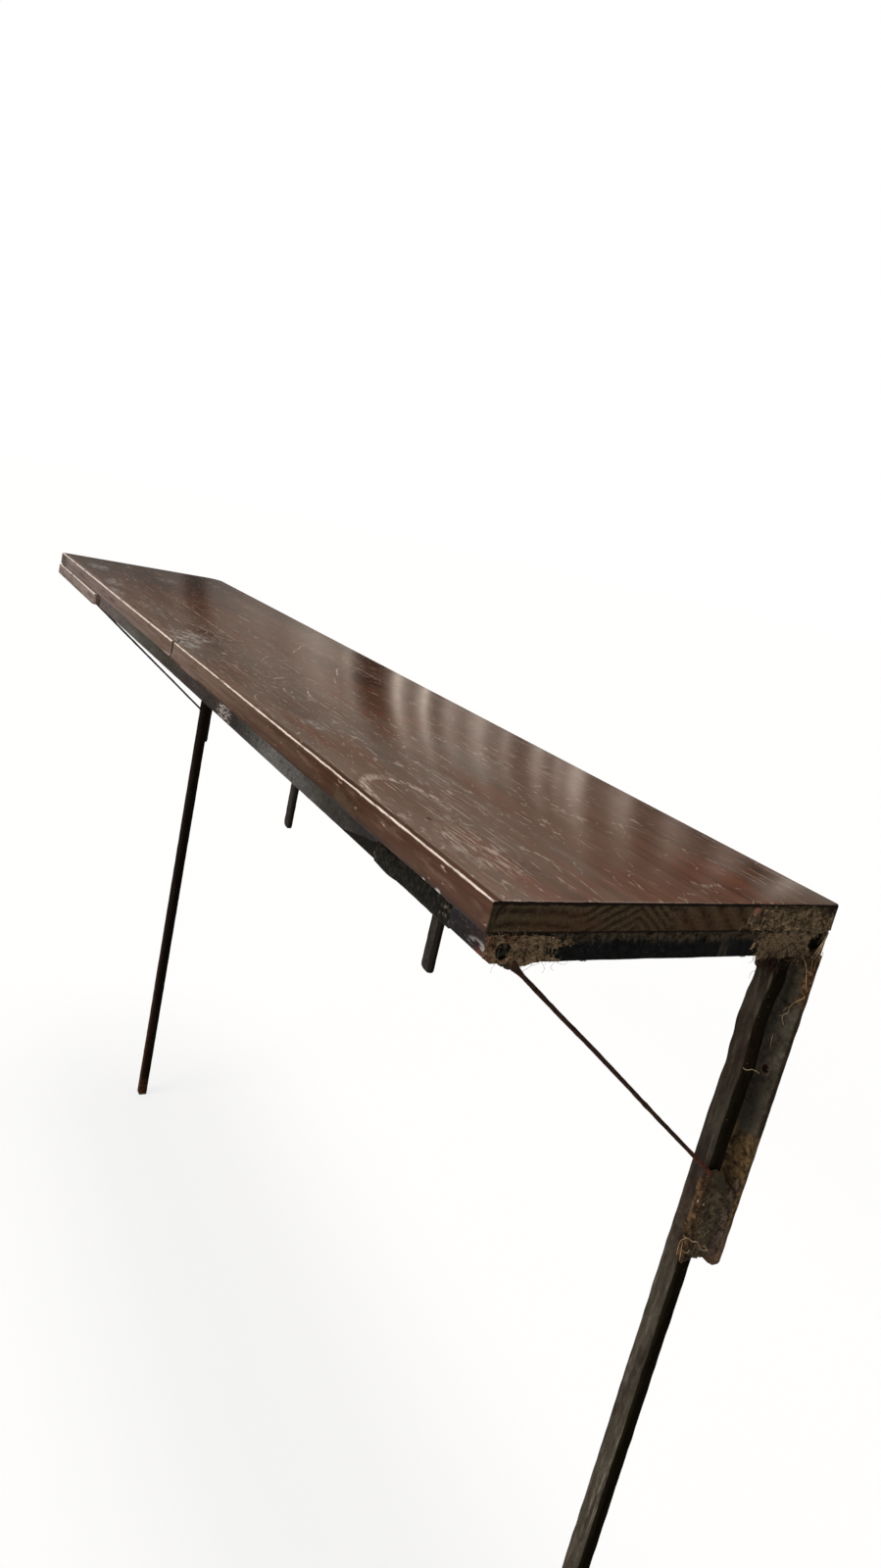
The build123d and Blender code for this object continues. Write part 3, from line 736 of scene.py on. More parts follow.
def makeBlackBar():
    # Old black paint with dust caught along the upper edge and running down in drips.
    s = Finish("blackBar")
    speckle = s.grain((220.0, 220.0, 220.0), 5, 0.75)
    tone = s.ramp(speckle, [(0.38, (0.0035, 0.0042, 0.0040)), (0.72, (0.013, 0.0145, 0.0135))])
    drip = s.times(s.grain((40.0, 260.0, 16.0), 5, 0.7), 0.016)
    depth = s.math("SUBTRACT", boardBottom, s.z)
    fringe = s.step(s.math("SUBTRACT", depth, drip), 0.6 * mm, -5.5 * mm)
    fringe = s.times(fringe, s.step(speckle, 0.34, 0.62))
    tone = s.blend(fringe, tone, (0.085, 0.064, 0.045))
    streaks = s.times(
        s.step(s.y, roomEdge + 0.192, roomEdge + 0.196), s.step(s.y, roomEdge + 0.208, roomEdge + 0.204),
        s.step(s.grain((60.0, 420.0, 30.0), 4, 0.7), 0.42, 0.6),
    )
    tone = s.blend(s.times(streaks, 0.6), tone, (0.07, 0.055, 0.04))
    glints = s.step(s.cells(420.0), 0.16, 0.08)
    tone = s.blend(s.times(glints, s.step(s.noise(40.0, 3), 0.5, 0.62), 0.6), tone, (0.16, 0.17, 0.16))
    normal = s.bump(speckle, 0.4, 0.8)
    return s.close(tone, s.plus(s.times(speckle, 0.3), 0.45), normal, Specular_IOR_Level=0.01)


def makeLegPaint(name, legLow, worn, flank, rusty, heights):
    # worn is the side towards the room, flank the darker side, darker partly from its paint and partly as painted
    # shade; both mixed by which face a point is on.
    s = Finish(name)
    scrape = s.grain((380.0, 380.0, 24.0), 5, 0.75)
    blotch = s.grain((150.0, 150.0, 30.0), 6, 0.78)
    speckle = s.noise(360.0, 4, 0.75)
    front = s.step(s.y, legLow.y + 1.5 * mm, legLow.y + 0.6 * mm)
    tone = s.ramp(blotch, [(0.32, worn[0]), (0.66, worn[1])])
    tone = s.blend(s.times(s.step(scrape, 0.54, 0.70), worn[3]), tone, worn[2])
    tone = s.blend(s.times(s.step(scrape, 0.44, 0.34), 0.6), tone, worn[0])
    level = heights[0][1]
    for before, after in zip(heights, heights[1:]):
        middle = topFace + (before[0] + after[0]) / 2 * mm
        level = s.plus(level, s.times(s.step(s.z, middle + 16 * mm, middle - 16 * mm), after[1] - before[1]))
    tone = s.blend(1.0, tone, level, "MULTIPLY")
    bruise = s.step(s.grain((90.0, 90.0, 16.0), 4, 0.65), 0.54, 0.64)
    tone = s.blend(s.times(bruise, 0.6), tone, (0.019, 0.0145, 0.014))
    streaky = s.times(s.step(s.z, topFace - 0.090, topFace - 0.060), s.step(s.grain((260.0, 260.0, 14.0), 4, 0.65), 0.44, 0.56))
    tone = s.blend(s.times(streaky, 0.8), tone, (0.017, 0.011, 0.0075))
    capped = s.step(s.plus(s.z, s.times(s.grain((200.0, 200.0, 60.0), 4, 0.65), 0.012)), topFace - 0.054, topFace - 0.043)
    tone = s.blend(s.times(capped, 0.92), tone, (0.010, 0.005, 0.0055))
    dark = s.ramp(blotch, [(0.35, flank[0]), (0.7, flank[1])])
    # Pale specks on the darker sides: painted glints.
    dark = s.blend(s.times(s.step(s.cells(260.0), 0.14, 0.06), s.step(s.noise(35.0, 3), 0.52, 0.60)), dark, (0.2, 0.21, 0.18))
    # Darker still on the part away from the room: painted shadow of the gap between the leg and the bracket.
    gapShadow = s.step(s.y, legLow.y + 3 * mm, legLow.y + 7 * mm)
    dark = s.blend(s.times(gapShadow, 0.55), dark, (0.003, 0.002, 0.0015))
    tone = s.blend(front, dark, tone)
    tone = s.blend(s.times(s.step(speckle, 0.60, 0.70), 0.45), tone, (0.02, 0.014, 0.009))
    spots = s.ramp(s.noise(260.0, 5, 0.7), [(0.34, (0.016, 0.008, 0.006)), (0.66, rusty[0])])
    for centre, reach, stretch, strength in rusty[1]:
        patch = s.times(s.spot(centre, reach, stretch=stretch), s.step(s.noise(150.0, 5, 0.7), 0.34, 0.58), strength)
        tone = s.blend(patch, tone, spots)
    normal = s.bump(s.plus(blotch, s.times(speckle, 0.6), s.times(scrape, 0.5)), 0.25, 0.8)
    return s.close(tone, s.plus(s.times(blotch, 0.3), 0.45), normal, Specular_IOR_Level=0.0)


def makeBracketPaint():
    s = Finish("bracketPaint")
    blotch = s.noise(90.0, 6, 0.78)
    speckle = s.noise(300.0, 4, 0.75)
    tone = s.ramp(blotch, [(0.36, (0.018, 0.015, 0.010)), (0.5, (0.055, 0.048, 0.035)), (0.64, (0.092, 0.081, 0.060))])
    blueish = s.times(s.spot(place(-17, 296, -176), 12, stretch=(1.0, 1.0, 0.5)), s.step(blotch, 0.42, 0.58))
    tone = s.blend(s.times(blueish, 0.4), tone, (0.022, 0.022, 0.023))
    lower = s.step(s.z, topFace - 0.125, topFace - 0.150)
    tone = s.blend(s.times(lower, 0.3), tone, (0.018, 0.013, 0.009))
    tone = s.blend(s.times(s.step(speckle, 0.6, 0.72), 0.5), tone, (0.085, 0.072, 0.052))
    scratches = s.step(s.grain((340.0, 340.0, 26.0), 3, 0.6), 0.68, 0.76)
    tone = s.blend(s.times(scratches, 0.55), tone, (0.16, 0.14, 0.11))
    spacing = 0.495
    fromCentre = s.math("SUBTRACT", s.math("MODULO", s.plus(s.x, 10 * spacing - nearEnd + 0.0125 + spacing / 2), spacing), spacing / 2)
    sideways = s.math("ABSOLUTE", fromCentre)
    # Dark edges along both sides of each bar: painted shade.
    rim = s.step(s.plus(sideways, s.times(s.noise(80.0, 5, 0.7), 0.006)), 13.6 * mm, 15.6 * mm)
    rust = s.ramp(s.noise(300.0, 5, 0.72), [(0.34, (0.026, 0.010, 0.006)), (0.6, (0.088, 0.040, 0.020)), (0.75, (0.15, 0.085, 0.045))])
    tone = s.blend(s.times(rim, 0.85), tone, s.ramp(speckle, [(0.4, (0.008, 0.006, 0.004)), (0.62, (0.036, 0.022, 0.013))]))
    topRust = s.times(s.step(s.z, topFace - 0.092, topFace - 0.070), s.step(s.plus(s.x, s.times(s.noise(110.0, 4, 0.7), 0.012)), nearEnd - 0.003, nearEnd + 0.002))
    tone = s.blend(s.times(topRust, 0.9), tone, s.ramp(s.noise(240.0, 5, 0.75), [(0.40, (0.016, 0.008, 0.005)), (0.52, (0.075, 0.038, 0.016)), (0.66, (0.22, 0.13, 0.065))]))
    holeAway = s.add("ShaderNodeCombineXYZ")
    s.feed(holeAway.inputs[0], fromCentre)
    s.feed(holeAway.inputs[2], s.math("SUBTRACT", s.z, topFace - 0.142))
    around = s.vector("LENGTH", holeAway.outputs[0])
    around = s.plus(around, s.times(s.noise(170.0, 4), 0.002))
    ring = s.times(s.step(around, 6.4 * mm, 5.4 * mm), s.step(around, 4.0 * mm, 4.8 * mm))
    tone = s.blend(s.step(around, 5.6 * mm, 4.8 * mm), tone, s.ramp(speckle, [(0.4, (0.014, 0.006, 0.005)), (0.65, (0.06, 0.028, 0.018))]))
    tone = s.blend(s.times(ring, 0.5), tone, (0.11, 0.085, 0.065))
    low = s.step(s.plus(s.z, s.times(s.noise(34.0, 5, 0.7), 0.034)), topFace - 0.172, topFace - 0.186)
    ochre = s.ramp(s.noise(210.0, 6, 0.75), [(0.38, (0.016, 0.010, 0.005)), (0.52, (0.100, 0.062, 0.029)), (0.66, (0.185, 0.122, 0.056))])
    tone = s.blend(s.times(low, s.step(s.x, nearEnd - 0.03, nearEnd - 0.024), 0.95), tone, ochre)
    pinkish = s.step(s.plus(s.z, s.times(s.noise(30.0, 4), 0.02)), topFace - 0.252, topFace - 0.272)
    pinkish = s.times(pinkish, s.step(s.x, nearEnd - 0.03, nearEnd - 0.024), 0.6)
    tone = s.blend(pinkish, tone, s.ramp(s.noise(160.0, 5, 0.7), [(0.35, (0.05, 0.027, 0.018)), (0.7, (0.15, 0.098, 0.075))]))
    others = s.step(s.x, nearEnd - 0.03, nearEnd - 0.1)
    facing = s.step(s.y, wallFace - 4.2 * mm, wallFace - 4.7 * mm)
    facing = s.times(facing, s.step(s.plus(fromCentre, s.times(s.plus(speckle, -0.5), 0.006)), 4.6 * mm, 3.2 * mm))
    shade = s.blend(facing, (0.009, 0.007, 0.005), s.ramp(blotch, [(0.35, (0.020, 0.016, 0.014)), (0.7, (0.052, 0.044, 0.040))]))
    tone = s.blend(s.times(others, 0.9), tone, shade)
    normal = s.bump(s.plus(blotch, s.times(speckle, 0.6), s.times(low, s.noise(160.0, 5, 0.7), 1.5)), 0.5, 0.8)
    return s.close(tone, s.plus(s.times(blotch, 0.3), 0.5), normal, Specular_IOR_Level=0.02)


def makeRust(name, dark, bright, pale, scale=170.0, roughness=0.8):
    s = Finish(name)
    lumps = s.noise(scale, 6, 0.74)
    tone = s.ramp(lumps, [(0.3, dark), (0.5, bright), (0.7, pale)])
    grime = s.step(s.noise(scale * 0.3, 4, 0.6), 0.48, 0.66)
    tone = s.blend(s.times(grime, 0.65), tone, dark)
    normal = s.bump(lumps, 0.6, 0.9)
    return s.close(tone, roughness, normal, Specular_IOR_Level=0.03)


def makePlateRust():
    # Thick scale: orange-brown towards the leg, olive in the middle, pinkish towards the wall.
    s = Finish("plateRust")
    lumps = s.noise(120.0, 7, 0.80)
    fine = s.noise(520.0, 4, 0.7)
    olive = s.ramp(lumps, [(0.38, (0.012, 0.008, 0.004)), (0.50, (0.054, 0.039, 0.020)), (0.62, (0.12, 0.090, 0.052))])
    orange = s.ramp(lumps, [(0.38, (0.014, 0.007, 0.003)), (0.50, (0.060, 0.034, 0.017)), (0.62, (0.15, 0.090, 0.045))])
    pinkish = s.ramp(lumps, [(0.36, (0.022, 0.012, 0.009)), (0.50, (0.075, 0.050, 0.038)), (0.64, (0.15, 0.105, 0.082))])
    astray = s.plus(s.y, s.times(s.plus(s.noise(70.0, 3, 0.6), -0.5), 0.022))
    tone = s.blend(s.step(astray, roomEdge + 0.266, roomEdge + 0.260), olive, orange)
    tone = s.blend(s.times(s.step(astray, roomEdge + 0.280, roomEdge + 0.290), 0.7), tone, pinkish)
    tone = s.blend(s.times(s.step(s.noise(190.0, 4, 0.65), 0.52, 0.60), 0.8), tone, (0.014, 0.009, 0.005))
    # Pale specks over the scale: painted highlights.
    tone = s.blend(s.times(s.step(fine, 0.60, 0.66), s.step(s.noise(80.0, 3), 0.48, 0.58), 0.55), tone, (0.36, 0.28, 0.20))
    glints = s.greatest([s.spot(place(-4, 256, -247), 2.2), s.spot(place(-1, 261, -250), 1.5), s.spot(place(-4, 253, -280), 1.8)])
    tone = s.blend(s.times(glints, s.step(fine, 0.50, 0.58), 0.8), tone, (0.50, 0.40, 0.29))
    normal = s.bump(s.plus(lumps, s.times(fine, 0.5)), 0.6, 1.0)
    return s.close(tone, s.plus(s.times(fine, 0.6), 0.2), normal, Specular_IOR_Level=0.04)


def makeRodRust(name, dark, bright, lowRed):
    # Dull brown, turning red over the last stretch before the leg.
    s = Finish(name)
    lumps = s.noise(240.0, 6, 0.74)
    tone = s.ramp(lumps, [(0.34, dark), (0.68, bright)])
    low = s.step(s.plus(s.y, s.times(s.noise(60.0, 3), 0.02)), roomEdge + 0.226, roomEdge + 0.250)
    tone = s.blend(s.times(low, 0.85), tone, s.ramp(lumps, [(0.34, (0.03, 0.010, 0.006)), (0.66, lowRed)]))
    normal = s.bump(lumps, 0.3, 0.8)
    return s.close(tone, 0.75, normal, Specular_IOR_Level=0.03)


def makeFluff(name, dark, mid, pale, orangeAt=False, darkAt=False):
    # Matted dust: short crossing hairs over dark gaps.
    s = Finish(name)
    hairs = []
    for turn in (0.3, 1.2, 2.1, 2.8):
        node = s.add("ShaderNodeMapping")
        s.feed(node.inputs["Vector"], s.shaken(130.0, 2.2))
        node.inputs["Rotation"].default_value = (turn, 0, 0)
        node.inputs["Scale"].default_value = (900.0, 260.0, 3000.0)
        hairs.append(s.step(s.noise(1.0, 2, 0.5, node.outputs[0]), 0.54, 0.64))
    hairy = s.greatest(hairs)
    clumps = s.noise(230.0, 5, 0.75)
    tone = s.ramp(clumps, [(0.38, dark), (0.56, mid)])
    tone = s.blend(s.times(hairy, s.step(clumps, 0.3, 0.6)), tone, pale)
    tone = s.blend(s.times(s.step(s.noise(420.0, 3, 0.6), 0.58, 0.66), 0.75), tone, dark)
    if orangeAt:
        edged = s.times(s.step(s.y, roomEdge + 0.040, roomEdge + 0.006), s.step(s.noise(110.0, 5, 0.75), 0.44, 0.56))
        tone = s.blend(s.times(edged, 0.85), tone, s.ramp(clumps, [(0.40, (0.045, 0.014, 0.008)), (0.60, (0.20, 0.095, 0.058))]))
        # Dark line along the groove between the board and the frame: painted shade.
        grooveShade = s.step(s.math("ABSOLUTE", s.plus(s.z, 0.0006 - boardBottom, s.times(s.plus(s.grain((1.0, 60.0, 1.0), 3), -0.5), 0.002))), 1.3 * mm, 0.6 * mm)
        grooveShade = s.times(grooveShade, s.step(s.grain((1.0, 150.0, 1.0), 3, 0.6), 0.38, 0.46), s.step(s.y, roomEdge + 0.276, roomEdge + 0.268))
        tone = s.blend(s.times(grooveShade, 0.9), tone, (0.012, 0.007, 0.004))
    if darkAt:
        shaded = s.step(s.plus(s.y, s.times(s.noise(120.0, 4, 0.7), 0.02)), roomEdge + 0.290, roomEdge + 0.276)
        tone = s.blend(s.times(shaded, s.blend(hairy, (0.9, 0.9, 0.9), (0.55, 0.55, 0.55))), tone, (0.012, 0.0055, 0.006))
    normal = s.bump(s.plus(s.times(hairy, 0.6), clumps), 0.7, 1.0)
    return s.close(tone, 0.95, normal, Specular_IOR_Level=0.0)


def makeStraw():
    s = Finish("straw")
    tone = s.ramp(s.noise(90.0, 4, 0.6), [(0.32, (0.15, 0.085, 0.042)), (0.5, (0.30, 0.20, 0.11)), (0.68, (0.50, 0.38, 0.23))])
    normal = s.bump(s.noise(900.0, 2), 0.1, 0.5)
    return s.close(tone, 0.65, normal, Specular_IOR_Level=0.3)


# Timber

plank = {"wallCornerRadius": 25 * mm, "arris": 1.2 * mm, "otherEdges": 0.4 * mm}


def roundedOff(x, end, radius):
    # How far an edge has fallen back where it is rounded off towards an end.
    share = max(0.0, min(1.0, 1 - (end - x) / radius))
    return radius * (1 - math.sqrt(1 - share * share))


def buildPlank(topMaterial, endMaterial):
    corner, arris, small = plank["wallCornerRadius"], plank["arris"], plank["otherEdges"]
    end = nearEnd - woodBack
    bend = [farEnd + corner * (1 - math.cos(math.radians(a))) for a in range(0, 91, 15)]
    fall = [end - arris * (1 - math.sin(math.radians(a))) for a in range(0, 91, 18)]
    rings = []
    for x in bend + spread(farEnd + corner, end - arris, 0.08)[1:-1] + fall:
        reach = min(1.0, (x - farEnd) / corner)
        back = wallFace - corner * (1 - math.sqrt(max(0.0, 1 - (1 - reach) ** 2)))
        top = topFace - roundedOff(x, end, arris)
        ring = roundedRing(boardLow.y, back, boardBottom, top, [small, small, arris, small], 3)
        rings.append([Vector((x, y, z)) for y, z in ring])
    thing = makeObject("plankTop", *loft(rings), [topMaterial, endMaterial], lambda f: int(abs(f.normal.x) > 0.75))
    take(thing, "top_wood", "top_board")


def buildStrip(name, node, slotName, materials, arris, endRound, pullBack=0.0, roundBelow=False):
    low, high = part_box(node)
    end = high.x - pullBack
    fall = [end - endRound * (1 - math.sin(math.radians(a))) for a in range(0, 91, 15)]
    foot, back = edgeStrip["frontFoot"], edgeStrip["backEdges"]
    rings = []
    for x in spread(low.x, end - endRound, 0.012)[:-1] + fall:
        shrink = roundedOff(x, end, endRound)
        bottom = low.z + (shrink if roundBelow else 0.0)
        front = low.y + (0.0 if roundBelow else min(shrink, 4 * mm))
        ring = roundedRing(front, high.y, bottom, high.z, [foot, back, back, arris], 4)
        rings.append([wobble((x, y, z), 25, edgeStrip["unevenness"] * mm, 3.0) for y, z in ring])
    thing = makeObject(name, *loft(rings), materials, lambda f: int(f.normal.x > 0.75))
    take(thing, slotName, node)


def keepInside(point):
    low, high = cadBounds
    return Vector([max(low[i], min(high[i], point[i])) for i in range(3)])


# Steel frame

frameTube = {"wall": 1.5 * mm, "cornerRadius": 1.6 * mm}
splice = {"roughness": 0.35, "sag": 1.3 * mm, "sagAt": -145, "blobs": [(-64, 2.4), (-60, 3.0), (-56, 3.0), (-53, 2.4)]}


def sides(node):
    low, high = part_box(node)
    return low, high, (low.y, high.y, low.z, high.z)


def buildRails(greyPaint, nearPaint, blackPaint):
    wall, radius = frameTube["wall"], frameTube["cornerRadius"]
    low, high, box = sides("front_rail_long")
    rail = squareTube("railFrontLong", "x", low.x, high.x, box, wall, radius, greyPaint, 0.15, seed=1.0)
    take(rail, "grey_frame_paint", "front_rail_long")
    low, high, box = sides("front_rail_near_piece")
    rail = squareTube("railFrontNear", "x", low.x, high.x - steelBack, box, wall, radius, nearPaint, 0.15, None, 4, 2.0)
    take(rail, "grey_frame_paint", "front_rail_near_piece")
    low, high, box = sides("back_rail")
    rail = squareTube("railBack", "x", low.x, high.x - steelBack, box, wall, radius, blackPaint, 0.0, seed=3.0)
    take(rail, "black_frame_paint", "back_rail")
    low, high, box = sides("near_cross_bar")
    across = (low.x, high.x - steelBack, low.z, high.z)
    bar = squareTube("crossBarNear", "y", low.y, high.y, across, wall, radius, blackPaint, 0.25, None, 4, 4.0)
    take(bar, "black_frame_paint", "near_cross_bar")


def buildSplice(barMaterial, weldMaterial, debrisMaterial):
    low, high, box = sides("front_rail_splice")
    sagAt = nearEnd + splice["sagAt"] * mm

    def shift(x):
        return Vector((0, 0, -splice["sag"] * math.exp(-((x - sagAt) / (14 * mm)) ** 2)))

    bar = flatBar("spliceBar", "x", low.x, high.x, box, 1.2 * mm, barMaterial, splice["roughness"], 7.0, 2.5, None, shift)
    take(bar, "black_frame_paint", "front_rail_splice")

    blobs = []
    for n, (x, size) in enumerate(splice["blobs"]):
        for z in (-25, -30, -36):
            blobs.append(lump(place(x + dice.uniform(-1, 1), 9.6, z + dice.uniform(-1, 1)), (size, 2.6, size), 0.5, n + z, 2))
    for z in (-27, -32, -37):
        blobs.append(lump(place(-164 + dice.uniform(-2, 1), 9.6, z), (3.4, 2.4, 3.6), 0.5, z, 2))
    take(makeObject("spliceWelds", *joined(blobs), [weldMaterial], sharpAngle=60), "weld_metal", "splice_welds")

    gaps = [(-61, -22.6, 1.7), (-80, -23.4, 2.2), (-99, -23.0, 2.4), (-128, -22.6, 1.2)]

    def debris(along, up):
        x, z = -165 + along, -27.5 + up
        ragged = 1.4 * noise.noise(Vector((x * 0.35, z * 0.7, 2.0)))
        for gapX, gapZ, reach in gaps:
            if math.hypot((x - gapX) * 0.6, z - gapZ) + ragged * 0.5 < reach:
                return None
        return 1.1 + 1.2 * noise.noise(Vector((x * 0.22, z * 0.5, 5.0)))

    origin = Vector((low.x, low.y + 1.6 * mm, topFace - 27.5 * mm))
    sheet = crust(origin, Vector((1, 0, 0)), Vector((0, 0, 1)), Vector((0, -1, 0)), 113, 7.2, 0.8, debris, 2.2)
    take(makeObject("spliceDebris", *sheet, [debrisMaterial], sharpAngle=70), None)


# Legs, brackets, rods and the tie plate

legTube = {"wall": 1.2 * mm, "cornerRadius": 1.4 * mm}
# How far the near leg strays along the table, at heights below the top, both in millimetres.
nearLegStray = [(-41, 1.0), (-50, 1.5), (-62, 2.0), (-80, 0.0), (-98, -1.2), (-116, 0.0), (-136, 1.2), (-152, 0.6), (-180, 0.0)]
bracketBar = {"cornerRadius": 0.7 * mm, "footRadius": 7.0 * mm, "roughness": 0.35, "holeRadius": 2.75 * mm}
stayRods = {"waviness": 0.5, "roughness": 0.22}


def between(table, at):
    # A value read from a table of places and levels, with straight runs between them.
    if at >= table[0][0]:
        return table[0][1]
    for (high, a), (low, b) in zip(table, table[1:]):
        if at >= low:
            share = (high - at) / (high - low)
            return a + (b - a) * (3 * share ** 2 - 2 * share ** 3)
    return table[-1][1]


def buildLegs(nearPaint, farPaint):
    wall, radius = legTube["wall"], legTube["cornerRadius"]
    low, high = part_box("near_leg")

    def stray(z):
        return Vector((between(nearLegStray, (z - topFace) / mm) * mm, 0, 0))

    leg = squareTube("legNear", "z", low.z, high.z, (low.x, high.x, low.y, high.y), wall, radius, nearPaint, 0.4, stray, 3, 5.0)
    take(leg, "leg_paint", "near_leg")
    low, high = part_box("far_leg")
    leg = squareTube("legFar", "z", low.z, high.z, (low.x, high.x, low.y, high.y), wall, radius, farPaint, 0.3, None, 6, 6.0)
    take(leg, "leg_paint", "far_leg")


def drill(thing, centre, radius):
    # A round hole right through, along the line from the room to the wall.
    reach = 12 * mm
    turns = [-2 * math.pi * i / 32 for i in range(32)]
    rings = [[centre + Vector((radius * math.cos(a), y, radius * math.sin(a))) for a in turns] for y in (-reach, reach)]
    cutter = makeObject("holeCutter", *loft(rings), [])
    cut = thing.modifiers.new("hole", "BOOLEAN")
    cut.operation = "DIFFERENCE"
    cut.solver = "EXACT"
    cut.object = cutter
    graph = bpy.context.evaluated_depsgraph_get()
    drilled = bpy.data.meshes.new_from_object(thing.evaluated_get(graph))
    thing.modifiers.clear()
    thing.data = drilled
    drilled.set_sharp_from_angle(angle=math.radians(50))
    bpy.data.objects.remove(cutter)


def buildBrackets(material, rustMaterial):
    holeDepth = 142 * mm
    for name, node, seed in (
        ("bracketNear", "wall_bracket_near", 11.0), ("bracketMidNear", "wall_bracket_mid_near", 12.0),
        ("bracketMidFar", "wall_bracket_mid_far", 13.0), ("bracketFar", "wall_bracket_far", 14.0),
    ):
        low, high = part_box(node)
        foot = bracketBar["footRadius"]

        def pinch(z):
            rise = min(foot, z - low.z)
            return foot - math.sqrt(max(0.0, foot ** 2 - (foot - rise) ** 2))

        box = (low.x, high.x, low.y, high.y - 0.3 * mm)
        bar = flatBar(name, "z", low.z, high.z, box, bracketBar["cornerRadius"], material, bracketBar["roughness"], seed, 1.5, pinch)
        drill(bar, Vector(((low.x + high.x) / 2, low.y, topFace - holeDepth)), bracketBar["holeRadius"])
        take(bar, "bracket_paint", node)
    low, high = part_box("wall_bracket_near")
    hole = Vector(((low.x + high.x) / 2, high.y - 1.1 * mm, topFace - holeDepth))
    scale = [lump(hole + Vector((dx * mm, 0, dz * mm)), (1.5, 0.8, 1.5), 0.4, dx, 2) for dx, dz in ((-2.5, -0.6), (-2.0, -1.8), (-0.8, -2.6))]
    take(makeObject("holeRust", *joined(scale), [rustMaterial]), "bracket_paint")


def buildRods(nearMaterial, farMaterial, weldMaterial):
    low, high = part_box("near_stay_rod")
    x = (low.x + high.x) / 2
    radius = (high.x - low.x) / 2
    ends = (
        ("rodNear", "near_stay_rod", Vector((x, roomEdge + 24 * mm, high.z)), Vector((x, roomEdge + 259 * mm, low.z)), radius * 0.94, nearMaterial, 1.0),
    )
    low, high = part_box("far_stay_rod")
    x = (low.x + high.x) / 2
    ends += (
        ("rodFar", "far_stay_rod", Vector((x, roomEdge + 12.5 * mm, high.z)), Vector((x, roomEdge + 255 * mm, low.z + 2 * mm)), radius, farMaterial, 2.0),
    )
    for name, node, top, foot, thickness, material, seed in ends:
        count = 60
        line, radii = [], []
        for i in range(count + 1):
            share = i / count
            point = top.lerp(foot, share)
            sway = stayRods["waviness"] * mm * math.sin(math.pi * share)
            line.append(point + noise.noise_vector(Vector((seed, share * 5, 1.0))) * sway)
            flare = 1 + 0.9 * max(0.0, 1 - share * 22) + 0.12 * noise.noise(Vector((share * 30, seed, 0)))
            radii.append(thickness * flare)
        skin = roundRod([keepRodInside(p) for p in line], radii, 12, stayRods["roughness"], seed)
        take(makeObject(name, *skin, [material]), "rod_steel", node)
    blobs = []
    for centre, size in (
        (place(-2.6, 23, -42.5), (1.6, 3.6, 2.6)), (place(-3.2, 19, -41.6), (2.0, 3.2, 1.8)),
        (place(-1416, 12, -42.0), (3.2, 3.4, 2.8)), (place(-1416, 16, -43.4), (2.6, 3.0, 2.6)),
        (place(-1416, 254, -230), (2.4, 2.2, 4.0)), (place(-1416, 254.4, -236), (2.0, 1.6, 3.4)),
    ):
        blobs.append(lump(centre, size, 0.45, size[0] + size[2], 3))
    take(makeObject("stayWelds", *joined(blobs), [weldMaterial]), "weld_metal", "stay_welds")


def keepRodInside(point):
    return Vector((min(point.x, nearEnd - 2.0 * mm), point.y, point.z))


tiePlate = {"crustCell": 0.55, "standsOut": 2.7}


